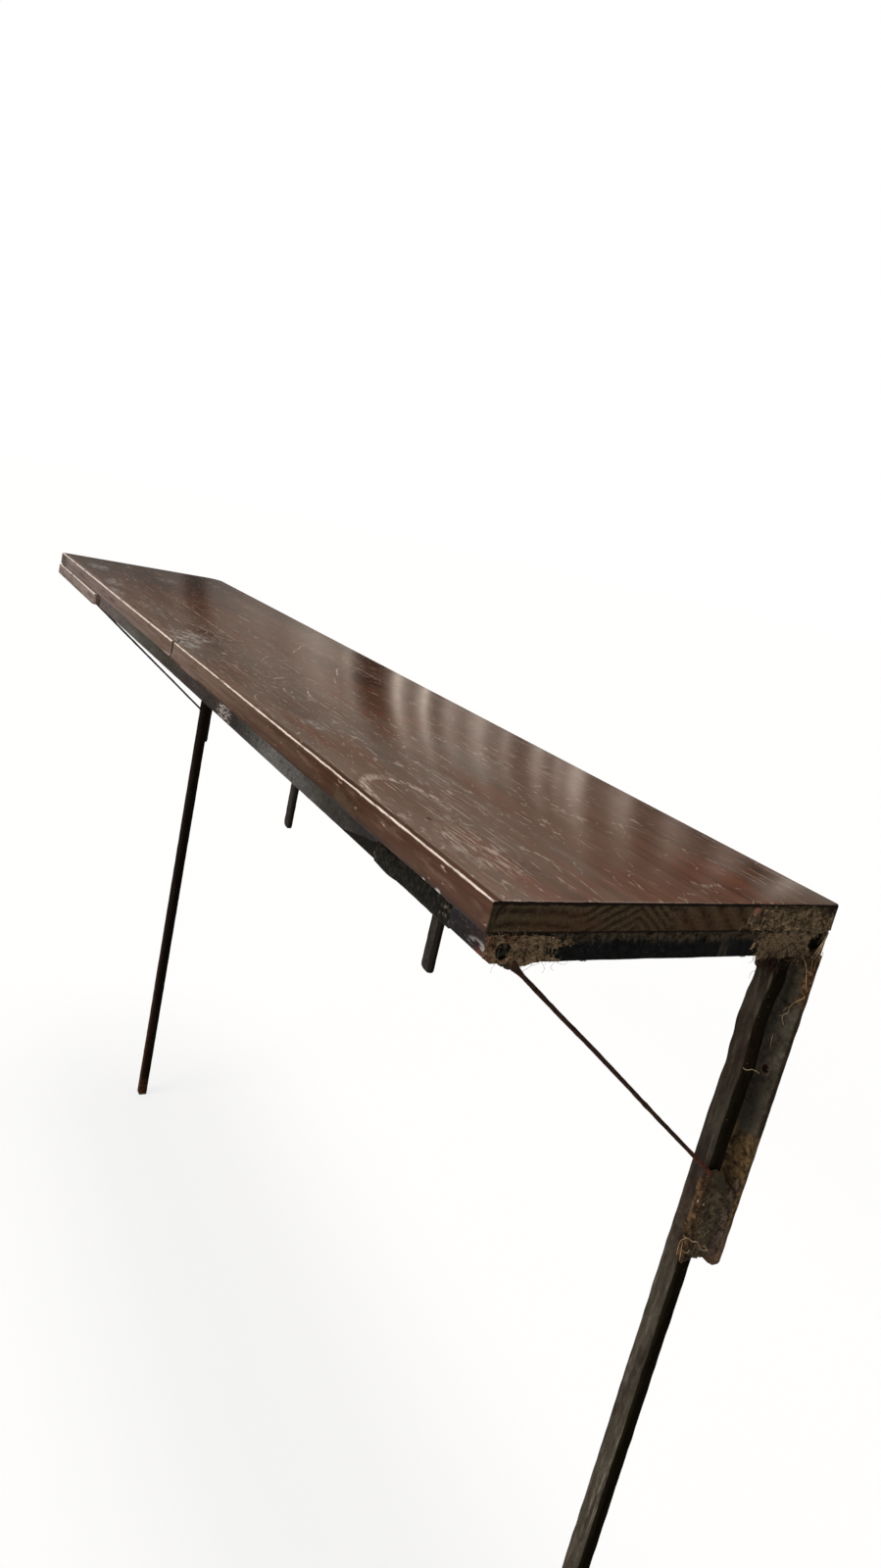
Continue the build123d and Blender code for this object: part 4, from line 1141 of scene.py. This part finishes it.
def buildTiePlate(rustMaterial, tipMaterial, strawMaterial):
    low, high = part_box("near_tie_plate")
    span = (high.y - low.y) / mm + 3.0
    tall = (high.z - low.z) / mm + 2.0

    def height(along, down):
        edge = 1.6 * noise.noise(Vector((along * 0.12, down * 0.09, 1.0))) + 0.8 * noise.noise(Vector((along * 0.5, down * 0.5, 2.0)))
        slope = 4.0 * max(0.0, 1 - down / 22) if along < 12 else 0.0
        if along < 1.4 + edge + slope * 0.4 or along > span - 1.2 + edge * 0.5:
            return None
        if down < 1.5 - edge + 0.70 * max(0.0, along - 12) or down > tall - 1.2 + edge:
            return None
        rough = noise.noise(Vector((along * 0.16, down * 0.13, 4.0)))
        fine = noise.noise(Vector((along * 0.55, down * 0.5, 8.0)))
        return min(3.55, tiePlate["standsOut"] + 0.9 * rough + 1.0 * fine)

    origin = Vector((low.x, low.y - 1.5 * mm, high.z))
    sheet = crust(origin, Vector((0, 1, 0)), Vector((0, 0, -1)), Vector((1, 0, 0)), span, tall, tiePlate["crustCell"], height, 0.6)
    take(makeObject("tiePlateCrust", *sheet, [rustMaterial], sharpAngle=75), "rusty_plate", "near_tie_plate")

    # Scale that has crept from the plate onto the leg's room side.
    legLow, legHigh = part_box("near_leg")

    def creep(along, down):
        edge = 1.5 * noise.noise(Vector((along * 0.3, down * 0.12, 6.0))) + 0.7 * noise.noise(Vector((along * 0.9, down * 0.6, 3.0)))
        if along < 3.8 + edge + 1.8 * math.sin(down * 0.055) + 0.14 * max(0.0, down - 44) or down < 2 - edge or down > 72 + edge:
            return None
        return 0.75 + 0.5 * noise.noise(Vector((along * 0.4, down * 0.25, 1.0))) + 0.35 * noise.noise(Vector((along * 1.1, down * 0.8, 9.0)))

    origin = Vector((legHigh.x - 9.5 * mm, legLow.y, topFace - 226 * mm))
    sheet = crust(origin, Vector((1, 0, 0)), Vector((0, 0, -1)), Vector((0, -1, 0)), 10.2, 78, 0.55, creep, 0.4)
    take(makeObject("legScale", *sheet, [rustMaterial], sharpAngle=75), "rusty_plate")

    beads = []
    for along, across, up in ((-2.4, 257, -228), (-2.4, 256, -252), (-2.2, 257, -276), (-2.6, 293, -240), (-2.4, 294, -262), (-2.6, 293, -284)):
        beads.append(lump(place(along, across, up), (1.7, 2.2, 6.5), 0.5, across + up, 3))
    take(makeObject("tiePlateBeads", *joined(beads), [rustMaterial]), "rusty_plate", "tie_plate_welds")

    # The rod's flattened end, a small three-cornered tongue on the plate.
    outline = [(256.5, -219), (262, -218.5), (271.5, -224.5), (282, -243), (277.5, -242), (264, -230.5)]
    rings = [[place(x, across, up) for across, up in outline] for x in (-1.4, -0.3)]
    tongue = makeObject("rodTongue", *loft(rings), [tipMaterial], sharpAngle=30)
    take(tongue, "rod_steel")

    loops = [
        [(-5.5, 253.2, -289), (-4.6, 253.0, -283.5), (-1.6, 253.4, -279), (-0.8, 257, -280), (-0.7, 261, -283), (-0.7, 266, -284), (-0.8, 270, -288), (-0.8, 276, -291)],
        [(-0.8, 270, -289), (-0.7, 275, -293.5), (-0.8, 282, -295)],
        [(-0.9, 274, -288), (-0.7, 277.5, -291), (-0.8, 280, -294)],
        [(-5.6, 253.2, -284), (-5.2, 252.8, -290), (-4.6, 253.0, -297)],
        [(-3.0, 253.2, -284), (-1.6, 252.8, -291), (-0.9, 253.4, -299)],
        [(-1.6, 253.4, -290), (-0.8, 258, -293), (-0.8, 261, -291)],
    ]
    hairs = [strand([place(*p) for p in loop], 0.42 - 0.03 * n, 0.3, n) for n, loop in enumerate(loops)]
    take(makeObject("plateStraws", *joined(hairs), [strawMaterial]), None)


# Dust and lint caught on the near end

lint = {
    "cell": 0.55, "leftHairs": 90, "rightHairs": 380, "fringeHairs": 110, "hangingHairs": 90,
    "hairThickness": (0.07, 0.13), "hairLength": (4, 11),
}
plugHole = {"across": 16.2, "up": -32.8, "radius": 5.3}
tornHole = [(281.3, -31.6), (284.0, -27.0), (291.0, -24.0), (297.6, -21.8), (298.6, -25.0), (296.8, -31.0), (292.8, -38.8), (290.8, -42.0), (286.0, -39.0)]


def insideOf(outline, a, b):
    # How far inside a closed outline a point is, negative outside.
    inside, nearest = False, 1e9
    for (a0, b0), (a1, b1) in zip(outline, outline[1:] + outline[:1]):
        if (b0 > b) != (b1 > b) and a < (a1 - a0) * (b - b0) / (b1 - b0) + a0:
            inside = not inside
        share = max(0.0, min(1.0, ((a - a0) * (a1 - a0) + (b - b0) * (b1 - b0)) / ((a1 - a0) ** 2 + (b1 - b0) ** 2)))
        nearest = min(nearest, math.hypot(a - a0 - share * (a1 - a0), b - b0 - share * (b1 - b0)))
    return nearest if inside else -nearest


def rough(a, b, scale, seed):
    return noise.noise(Vector((a * scale, b * scale, seed)))


def leftLint(across, up):
    fromHole = math.hypot(across - plugHole["across"], (up - plugHole["up"]) * 0.98) + 0.7 * rough(across, up, 0.3, 3)
    if fromHole < plugHole["radius"]:
        return None
    bottom = -40.6 - 3.6 * math.exp(-((across - 29) / 9) ** 2) - 0.6 * math.exp(-((across - 12) / 6) ** 2) + 0.8 * rough(across, up, 0.35, 5)
    thins = (across - 43) / 16 + 1.1 * rough(across, up, 0.16, 7) + 0.7 * rough(across, up, 0.6, 8)
    if up < bottom or up > -21.6 + 0.4 * rough(across, up, 0.4, 9) or across < max(2.2, 9.3 - 1.57 * (up + 41.1)) + 1.2 * rough(across, up, 0.3, 2) or thins > 0.85:
        return None
    lip = 0.5 * math.exp(-((fromHole - plugHole["radius"] - 1) / 2.2) ** 2)
    return max(0.25, 0.95 + 0.6 * rough(across, up, 0.3, 1) + 0.35 * rough(across, up, 1.1, 4) + lip - 0.4 * max(0.0, thins))


def rightLint(across, up):
    if insideOf(tornHole, across, up) > 0.35 * rough(across, up, 0.6, 3) + 0.1:
        return None
    onBoard = up > -21.2
    leftEdge = (211 + 9 * (1 + up / 21) if onBoard else 230) + 15 * rough(across, up, 0.11, 2) + 7 * rough(across, up, 0.45, 6)
    if across < leftEdge or across > 299.4 + 0.5 * rough(across, up, 0.4, 8):
        return None
    top = -2.9 - 1.3 * (1 + rough(across, up, 0.25, 5)) - 5.5 * max(0.0, min(1.0, (across - 282) / 5)) * max(0.0, min(1.0, (299 - across) / 3))
    bottom = -42.4 + 1.8 * rough(across, up, 0.22, 4) - 1.2 * rough(across, up, 0.7, 9) if across > 232 else -40.6
    if up > top or up < bottom:
        return None
    seam = -21.6 + 0.5 * rough(across, up, 0.3, 7)
    if across < 262 + 8 * rough(across, up, 0.5, 1) and abs(up - seam) < 0.7:
        return 0.12
    base = 1.25 if onBoard else 0.75
    return max(0.2, min(2.05, base + 0.5 * rough(across, up, 0.28, 11) + 0.38 * rough(across, up, 1.0, 12)))


def hangingLint(across, up):
    # Brown tangle that hangs below the frame, over the tops of the leg and the bracket.
    bottom = -46.5 - 9.5 * math.exp(-((across - 258) / 7) ** 2) - 6 * math.exp(-((across - 243) / 5) ** 2) - 7.5 * math.exp(-((across - 291) / 6) ** 2)
    bottom += 3.2 * rough(across, up, 0.3, 3) + 1.8 * rough(across, up, 0.9, 5)
    if up < bottom or up > -38.5 or across < 236 + 3 * rough(across, up, 0.4, 2):
        return None
    return max(0.2, 0.9 + 0.8 * rough(across, up, 0.3, 8) + 0.6 * rough(across, up, 0.9, 9))


def lintSheet(name, material, shape, acrossLow, acrossHigh, upHigh, upLow, back=0.0):
    origin = place(0, acrossLow, upHigh) - Vector((steelBack + back * mm, 0, 0))
    sheet = crust(
        origin, Vector((0, 1, 0)), Vector((0, 0, -1)), Vector((1, 0, 0)), acrossHigh - acrossLow, upHigh - upLow,
        lint["cell"], lambda a, b: shape(acrossLow + a, upHigh - b), 0.35,
    )
    take(makeObject(name, *sheet, [material], sharpAngle=80), None)


def buildLint(fluff, paleFluff, brownFluff, tangle, straw, hollow, torn):
    lintSheet("lintLeft", fluff, leftLint, 1, 70, -20.5, -47)
    lintSheet("lintRight", fluff, rightLint, 196, 300.2, -1, -46)
    lintSheet("lintHanging", tangle, hangingLint, 230, 299.8, -37.5, -62, 3.0)

    def over(shape, acrossLow, acrossHigh, upLow, upHigh):
        def pick():
            for _ in range(60):
                across, up = dice.uniform(acrossLow, acrossHigh), dice.uniform(upLow, upHigh)
                if shape(across, up) is not None:
                    return place(0, across, up) - Vector((1.2 * mm, 0, 0))
            return place(0, acrossLow, upHigh)
        return pick

    out = Vector((1, 0, 0))
    thick, length = lint["hairThickness"], lint["hairLength"]
    left = looseHairs(lint["leftHairs"], over(leftLint, 2, 64, -44, -22), out, (4, 11), thick, 1.0)
    right = looseHairs(lint["rightHairs"], over(rightLint, 204, 299, -42, -3), out, length, thick, 1.0)
    fringe = looseHairs(lint["fringeHairs"], lambda: place(-1.9, dice.uniform(52, 232), dice.uniform(-26, -21.6)), out, (2, 6), (0.1, 0.16), 0.3)
    take(makeObject("lintHairs", *joined([left, right]), [paleFluff], sharpAngle=80), None)
    take(makeObject("lintFringe", *fringe, [brownFluff], sharpAngle=80), None)
    hanging = looseHairs(lint["hangingHairs"], over(hangingLint, 236, 299, -57, -40), out, (5, 14), (0.12, 0.22), 1.6)
    take(makeObject("hangingHairs", *hanging, [tangle], sharpAngle=80), None)

    placed = [
        [(-0.8, 296.5, -66), (0.0, 295.2, -74), (-5.8, 294.4, -81.5), (-8.7, 294.3, -86.7), (-9.4, 294.2, -92.5), (-15.6, 294.3, -98.4)],
        [(-12.6, 294.2, -96.0), (-11.6, 294.0, -99), (-9.3, 294.2, -102.4)],
        [(-8.7, 294.2, -86.7), (-11.6, 294.0, -89.5), (-12.8, 294.2, -93)],
        [(-15.4, 294.3, -114), (-14.9, 294.2, -118), (-14.2, 294.3, -124)],
        [(-1.0, 291, -44), (-0.7, 293, -52), (-1.0, 296.5, -58), (-1.6, 297.5, -66), (-3, 296, -72)],
        [(-0.8, 284, -46), (-0.6, 289, -53), (-0.8, 295, -56), (-1.0, 299, -54)],
        [(-0.8, 280, -42), (-0.6, 286, -50), (-1.2, 292, -61), (-2.0, 296, -70), (-1.0, 298, -78)],
        [(-3.5, 256, -131), (-1.6, 259, -133), (-0.8, 264, -132.5), (-0.7, 270, -134.5), (-0.9, 274, -137)],
        [(-0.6, 297.2, -24), (-0.5, 295.0, -31), (-0.6, 291.5, -38), (-0.7, 289, -43)],
        [(-0.6, 298.4, -22), (-0.5, 297.0, -30), (-0.6, 294, -39), (-0.8, 292, -44)],
    ]
    hairs = [strand([place(*p) for p in points], 0.36 if n < 3 else 0.3, 0.35, n + 40) for n, points in enumerate(placed)]
    take(makeObject("longStraws", *joined(hairs), [straw], sharpAngle=80), None)

    # Dark lumps inside the two hollow tube ends, standing in for their shade; the left one's paler grey flecks are
    # painted glints.
    centre = place(-5.5, plugHole["across"], plugHole["up"])
    take(makeObject("hollowShadeAndGlint", *lump(centre, (2.0, 7.4, 7.4), 0.3, 2.0, 3), [hollow]), None)
    take(makeObject("tornHollowShade", *lump(place(-7.5, 290, -31), (3.0, 9.5, 11.0), 0.3, 5.0, 3), [torn]), None)


# Stage, light and camera

studio = {"overhead": 1.9, "roomSide": 2.0, "fill": 0.25, "roomReflection": 1.0, "floorGlow": 0.74, "floorTone": 0.25}


def addStage():
    reach = 60
    corners = [(-reach, -reach, 0), (reach, -reach, 0), (reach, reach, 0), (-reach, reach, 0)]
    s = Finish("floorPaint")
    path = s.add("ShaderNodeLightPath")
    shown = s.add("ShaderNodeBsdfDiffuse")
    shown.inputs["Color"].default_value = (studio["floorTone"],) * 3 + (1,)
    glow = s.add("ShaderNodeEmission")
    glow.inputs["Strength"].default_value = studio["floorGlow"]
    seen = s.add("ShaderNodeAddShader")
    s.tree.links.new(shown.outputs[0], seen.inputs[0])
    s.tree.links.new(glow.outputs[0], seen.inputs[1])
    plain = s.add("ShaderNodeBsdfDiffuse")
    plain.inputs["Color"].default_value = (0.5, 0.495, 0.485, 1)
    pick = s.add("ShaderNodeMixShader")
    s.feed(pick.inputs[0], s.greatest([path.outputs["Is Camera Ray"], path.outputs["Is Glossy Ray"], path.outputs["Is Transmission Ray"]]))
    s.tree.links.new(plain.outputs[0], pick.inputs[1])
    s.tree.links.new(seen.outputs[0], pick.inputs[2])
    out = s.add("ShaderNodeOutputMaterial")
    s.tree.links.new(pick.outputs[0], out.inputs[0])
    makeObject("floor", corners, [(0, 1, 2, 3)], [s.material])


def addWorld():
    world = bpy.data.worlds.new("studio")
    bpy.context.scene.world = world
    world.use_nodes = True
    tree = world.node_tree
    tree.nodes.clear()
    path = tree.nodes.new("ShaderNodeLightPath")
    white = tree.nodes.new("ShaderNodeBackground")
    white.inputs["Color"].default_value = (1, 1, 1, 1)
    soft = tree.nodes.new("ShaderNodeBackground")
    soft.inputs["Color"].default_value = (1.0, 0.97, 0.93, 1)
    soft.inputs["Strength"].default_value = studio["fill"]
    seen = path.outputs["Is Camera Ray"]
    for kind in ("Is Glossy Ray", "Is Transmission Ray"):
        either = tree.nodes.new("ShaderNodeMath")
        either.operation = "MAXIMUM"
        tree.links.new(seen, either.inputs[0])
        tree.links.new(path.outputs[kind], either.inputs[1])
        seen = either.outputs[0]
    mix = tree.nodes.new("ShaderNodeMixShader")
    out = tree.nodes.new("ShaderNodeOutputWorld")
    tree.links.new(seen, mix.inputs[0])
    tree.links.new(soft.outputs[0], mix.inputs[1])
    tree.links.new(white.outputs[0], mix.inputs[2])
    tree.links.new(mix.outputs[0], out.inputs[0])


def addSun(name, towards, strength, spreadDegrees, colour):
    lamp = bpy.data.lights.new(name, "SUN")
    lamp.energy = strength
    lamp.angle = math.radians(spreadDegrees)
    lamp.color = colour
    thing = bpy.data.objects.new(name, lamp)
    thing.location = (0, 0, 3)
    thing.rotation_euler = Vector(towards).to_track_quat("Z", "Y").to_euler()
    bpy.context.scene.collection.objects.link(thing)


def addCamera():
    eye = place(445.2, -325.5, 196.0)
    forward = Vector((-0.8279, 0.5072, -0.2397)).normalized()
    up = Vector((-0.3151, -0.0669, 0.9467))
    up = (up - forward * up.dot(forward)).normalized()
    lens = bpy.data.cameras.new("camera")
    lens.sensor_width = 36
    lens.lens = 1036.11 / 1600 * 36
    lens.clip_start = 0.02
    thing = bpy.data.objects.new("camera", lens)
    bpy.context.scene.collection.objects.link(thing)
    turn = Matrix((forward.cross(up), up, -forward)).transposed().to_4x4()
    thing.matrix_world = Matrix.Translation(eye) @ turn
    bpy.context.scene.camera = thing
    return eye


# Slope of the view across the table, and how bright the room is there.
roomBands = [
    (0.0, 0.12), (0.24, 0.12), (0.262, 0.17), (0.275, 0.02), (0.288, 0.02), (0.300, 0.16), (0.32, 0.20), (0.35, 0.25), (0.38, 0.22),
    (0.42, 0.40), (0.45, 0.30), (0.461, 0.42), (0.472, 0.12), (0.485, 0.02), (0.505, 0.02), (0.517, 0.15), (0.528, 0.95), (0.535, 0.45),
    (0.546, 0.22), (0.556, 0.34), (0.567, 1.0), (0.573, 0.32), (0.582, 0.15), (0.590, 0.22), (0.601, 0.50), (0.612, 0.36), (0.624, 0.24),
    (0.650, 0.62), (0.664, 0.27),
]
nearRoomBands = [
    (0.664, 0.27), (0.680, 0.24), (0.690, 0.45), (0.702, 0.20), (0.712, 0.12), (0.728, 0.17), (0.745, 0.55), (0.757, 0.24), (0.768, 0.18),
    (0.780, 0.45), (0.790, 0.28), (0.812, 0.75), (0.824, 0.48), (0.836, 0.13), (0.870, 0.17), (0.885, 0.33), (0.910, 0.42),
    (0.922, 0.18), (0.935, 0.08), (0.965, 0.10), (1.0, 0.28), (1.05, 0.10), (1.08, 0.08), (1.12, 0.26), (1.15, 0.18), (1.205, 0.03),
    (1.235, 0.12), (1.265, 0.15), (1.30, 0.48), (1.335, 0.28), (1.37, 0.13), (1.6, 0.13),
]


def addReflectedRoom(eye):
    # A round wall that only reflections show, with bright and dark upright bands on the table's wall side.
    foot = Vector((eye.x, eye.y, topFace))
    radius = 3.0
    rows = [-1.0, 0.0, 0.25, 0.5, 0.9, 1.4, 2.2]
    turns = 120
    points = []
    for i in range(turns):
        angle = 2 * math.pi * i / turns
        points += [foot + Vector((-math.cos(angle) * radius, math.sin(angle) * radius, up)) for up in rows]
    faces = []
    for i in range(turns):
        for j in range(len(rows) - 1):
            a, b = i * len(rows) + j, (i + 1) % turns * len(rows) + j
            faces.append((a, b, b + 1, a + 1))
    s = Finish("roomBands")
    across = s.math("SUBTRACT", foot.x, s.x)
    back = s.math("SUBTRACT", s.y, foot.y)
    slope = s.math("DIVIDE", back, s.math("MAXIMUM", across, 0.05))
    slope = s.times(slope, 0.973)
    farPart = s.ramp(s.times(slope, 1 / 0.664), [(a / 0.664, b) for a, b in roomBands])
    nearPart = s.ramp(s.times(s.plus(slope, -0.664), 1 / 0.936), [((a - 0.664) / 0.936, b) for a, b in nearRoomBands])
    light = s.blend(s.math("GREATER_THAN", slope, 0.664), farPart, nearPart)
    front = s.times(s.step(across, 0.05, 0.4), s.step(back, 0.0, 0.2))
    light = s.plus(s.times(light, front), s.times(s.math("SUBTRACT", 1.0, front), 0.2))
    fade = s.plus(s.times(s.step(s.math("SUBTRACT", s.z, topFace), 0.65, 0.3), 0.55), 0.45)
    glow = s.add("ShaderNodeEmission")
    glow.inputs["Color"].default_value = (1.0, 0.85, 0.72, 1)
    s.feed(glow.inputs["Strength"], s.times(light, fade, studio["roomReflection"]))
    out = s.add("ShaderNodeOutputMaterial")
    s.tree.links.new(glow.outputs[0], out.inputs[0])
    card = makeObject("reflectedRoom", points, faces, [s.material])
    card.visible_camera = False
    card.visible_diffuse = False
    card.visible_shadow = False
    card.visible_transmission = False


# Put together

topVarnish = makeTopVarnish()
nearStripVarnish = makeStripVarnish("nearStripVarnish", [(-850, (0.23, 0.17, 0.14)), (-700, (0.22, 0.155, 0.125)), (-500, (0.155, 0.095, 0.070)), (-250, (0.070, 0.031, 0.016)), (-90, (0.092, 0.043, 0.026)), (0, (0.100, 0.048, 0.031))], topFace, boardBottom)
farStripVarnish = makeStripVarnish("farStripVarnish", [(-1580, (0.14, 0.13, 0.125)), (-1530, (0.15, 0.13, 0.125)), (-1500, (0.26, 0.21, 0.20)), (-900, (0.22, 0.16, 0.135)), (-740, (0.17, 0.11, 0.085))], topFace, boardBottom)
coverVarnish = makeStripVarnish("coverVarnish", [(-1580, (0.30, 0.255, 0.235)), (-1228, (0.30, 0.24, 0.22))], boardBottom, topFace - 38 * mm)
endGrain = makeEndGrain()
sawnEnd = makeRust("sawnEnd", (0.05, 0.03, 0.022), (0.15, 0.095, 0.075), (0.28, 0.21, 0.18), 120.0, 0.7)
greyRail = makeRailPaint("greyRail")
blackBar = makeBlackBar()
blackTube = makeRust("blackTube", (0.006, 0.006, 0.006), (0.016, 0.016, 0.015), (0.07, 0.062, 0.05), 90.0, 0.6)
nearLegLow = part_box("near_leg")[0]
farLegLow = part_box("far_leg")[0]
nearLegPaint = makeLegPaint(
    "nearLegPaint", nearLegLow, ((0.020, 0.016, 0.013), (0.062, 0.053, 0.040), (0.15, 0.130, 0.100), 0.75), ((0.006, 0.005, 0.003), (0.022, 0.018, 0.010)),
    ((0.040, 0.020, 0.012), [
        (place(-6, 253, -262), 26, (1.8, 2.0, 0.6), 0.6), (place(-14, 253, -120), 16, (1.2, 1.0, 0.5), 0.4),
        (place(-12, 250, -1040), 26, (0.8, 0.5, 0.7), 0.8),
    ]),
    [(-41, 1.3), (-140, 0.82), (-215, 1.05), (-290, 1.5), (-1000, 1.45)],
)
farLegPaint = makeLegPaint(
    "farLegPaint", farLegLow, ((0.007, 0.005, 0.004), (0.019, 0.015, 0.012), (0.05, 0.034, 0.022), 0.35), ((0.008, 0.006, 0.004), (0.02, 0.014, 0.01)),
    ((0.14, 0.052, 0.02), [
        (place(-1424, 255, -930), 40, (3.2, 1.5, 0.22), 0.9), (place(-1423, 255, -740), 30, (4.0, 1.5, 0.3), 0.6),
        (place(-1416, 255, -1056), 18, (0.8, 0.8, 0.8), 0.9), (place(-1424, 255, -420), 30, (4.0, 1.5, 0.3), 0.4),
    ]),
    [(-41, 1.0), (-1000, 1.1)],
)
bracketPaint = makeBracketPaint()
tieRust = makePlateRust()
holeRust = makeRust("holeRust", (0.012, 0.006, 0.004), (0.05, 0.022, 0.012), (0.14, 0.08, 0.05), 400.0)
rodRust = makeRodRust("rodRust", (0.014, 0.007, 0.005), (0.052, 0.026, 0.017), (0.11, 0.036, 0.022))
farRodRust = makeRust("farRodRust", (0.008, 0.006, 0.005), (0.024, 0.016, 0.012), (0.045, 0.034, 0.028), 160.0)
tongueSteel = makeRust("tongueSteel", (0.020, 0.015, 0.008), (0.036, 0.028, 0.016), (0.055, 0.042, 0.025), 90.0, 0.7)
weldSteel = makeRust("weldSteel", (0.008, 0.006, 0.005), (0.040, 0.032, 0.026), (0.22, 0.19, 0.16), 320.0, 0.5)
spliceSteel = makeRust("spliceSteel", (0.003, 0.003, 0.002), (0.010, 0.009, 0.007), (0.045, 0.040, 0.032), 220.0, 0.55)
darkDebris = makeFluff("darkDebris", (0.004, 0.003, 0.002), (0.020, 0.016, 0.011), (0.07, 0.055, 0.04))
fluff = makeFluff("fluff", (0.012, 0.007, 0.004), (0.118, 0.077, 0.041), (0.50, 0.365, 0.23), True)
paleFluff = makeFluff("paleFluff", (0.08, 0.056, 0.032), (0.22, 0.16, 0.10), (0.40, 0.31, 0.20))
brownFluff = makeFluff("brownFluff", (0.006, 0.003, 0.002), (0.034, 0.020, 0.012), (0.16, 0.11, 0.065))
tangle = makeFluff("tangle", (0.006, 0.003, 0.002), (0.040, 0.023, 0.013), (0.20, 0.135, 0.08), darkAt=True)
hollowShadeAndGlint = makeFluff("hollowShadeAndGlint", (0.005, 0.005, 0.004), (0.030, 0.031, 0.023), (0.11, 0.11, 0.085))
tornHollowShade = makeFluff("tornHollowShade", (0.003, 0.002, 0.002), (0.009, 0.007, 0.005), (0.03, 0.022, 0.014))
straw = makeStraw()
plugPlastic = makeRust("plugPlastic", (0.03, 0.018, 0.010), (0.075, 0.042, 0.022), (0.12, 0.08, 0.05), 60.0, 0.6)
screwZinc = makeRust("screwZinc", (0.16, 0.155, 0.14), (0.33, 0.33, 0.31), (0.45, 0.45, 0.43), 200.0, 0.4)
print("finishes made")

buildPlank(topVarnish, endGrain)
buildStrip("stripNear", "edge_strip_near", "edge_wood", [nearStripVarnish, endGrain], edgeStrip["arris"], 1.6 * mm, woodBack)
buildStrip("stripFar", "edge_strip_far", "edge_wood", [farStripVarnish, sawnEnd], edgeStrip["arris"], jointRound, 0.0, True)
buildStrip("stripCover", "far_cover_strip", "cover_wood", [coverVarnish, sawnEnd], 0.6 * mm, 7 * mm)
print("timber built")

buildRails(greyRail, greyRail, blackBar)
buildSplice(spliceSteel, weldSteel, darkDebris)
buildLegs(nearLegPaint, farLegPaint)
buildBrackets(bracketPaint, holeRust)
buildRods(rodRust, farRodRust, weldSteel)
buildTiePlate(tieRust, tongueSteel, straw)
print("steel built")

buildLint(fluff, paleFluff, brownFluff, tangle, straw, hollowShadeAndGlint, tornHollowShade)
for node in ("mid_cross_bar_near", "mid_cross_bar_far", "far_leg_cross_bar", "far_end_cross_bar"):
    dress(node, blackTube)
for node in ("frame_welds", "bracket_welds", "leg_welds"):
    dress(node, weldSteel)
for node in ("near_foot_plug", "far_foot_plug"):
    dress(node, plugPlastic)
dress("board_screws", screwZinc)
print("lint laid and plain pieces dressed")

addStage()
addWorld()
addReflectedRoom(addCamera())
addSun("overhead", (0.05, -0.12, 1.0), studio["overhead"], 30, (1.0, 0.98, 0.95))
addSun("roomSide", (0.22, -0.95, 0.33), studio["roomSide"], 34, (1.0, 0.97, 0.93))
bpy.context.scene.view_settings.view_transform = "Standard"
print("stage set")
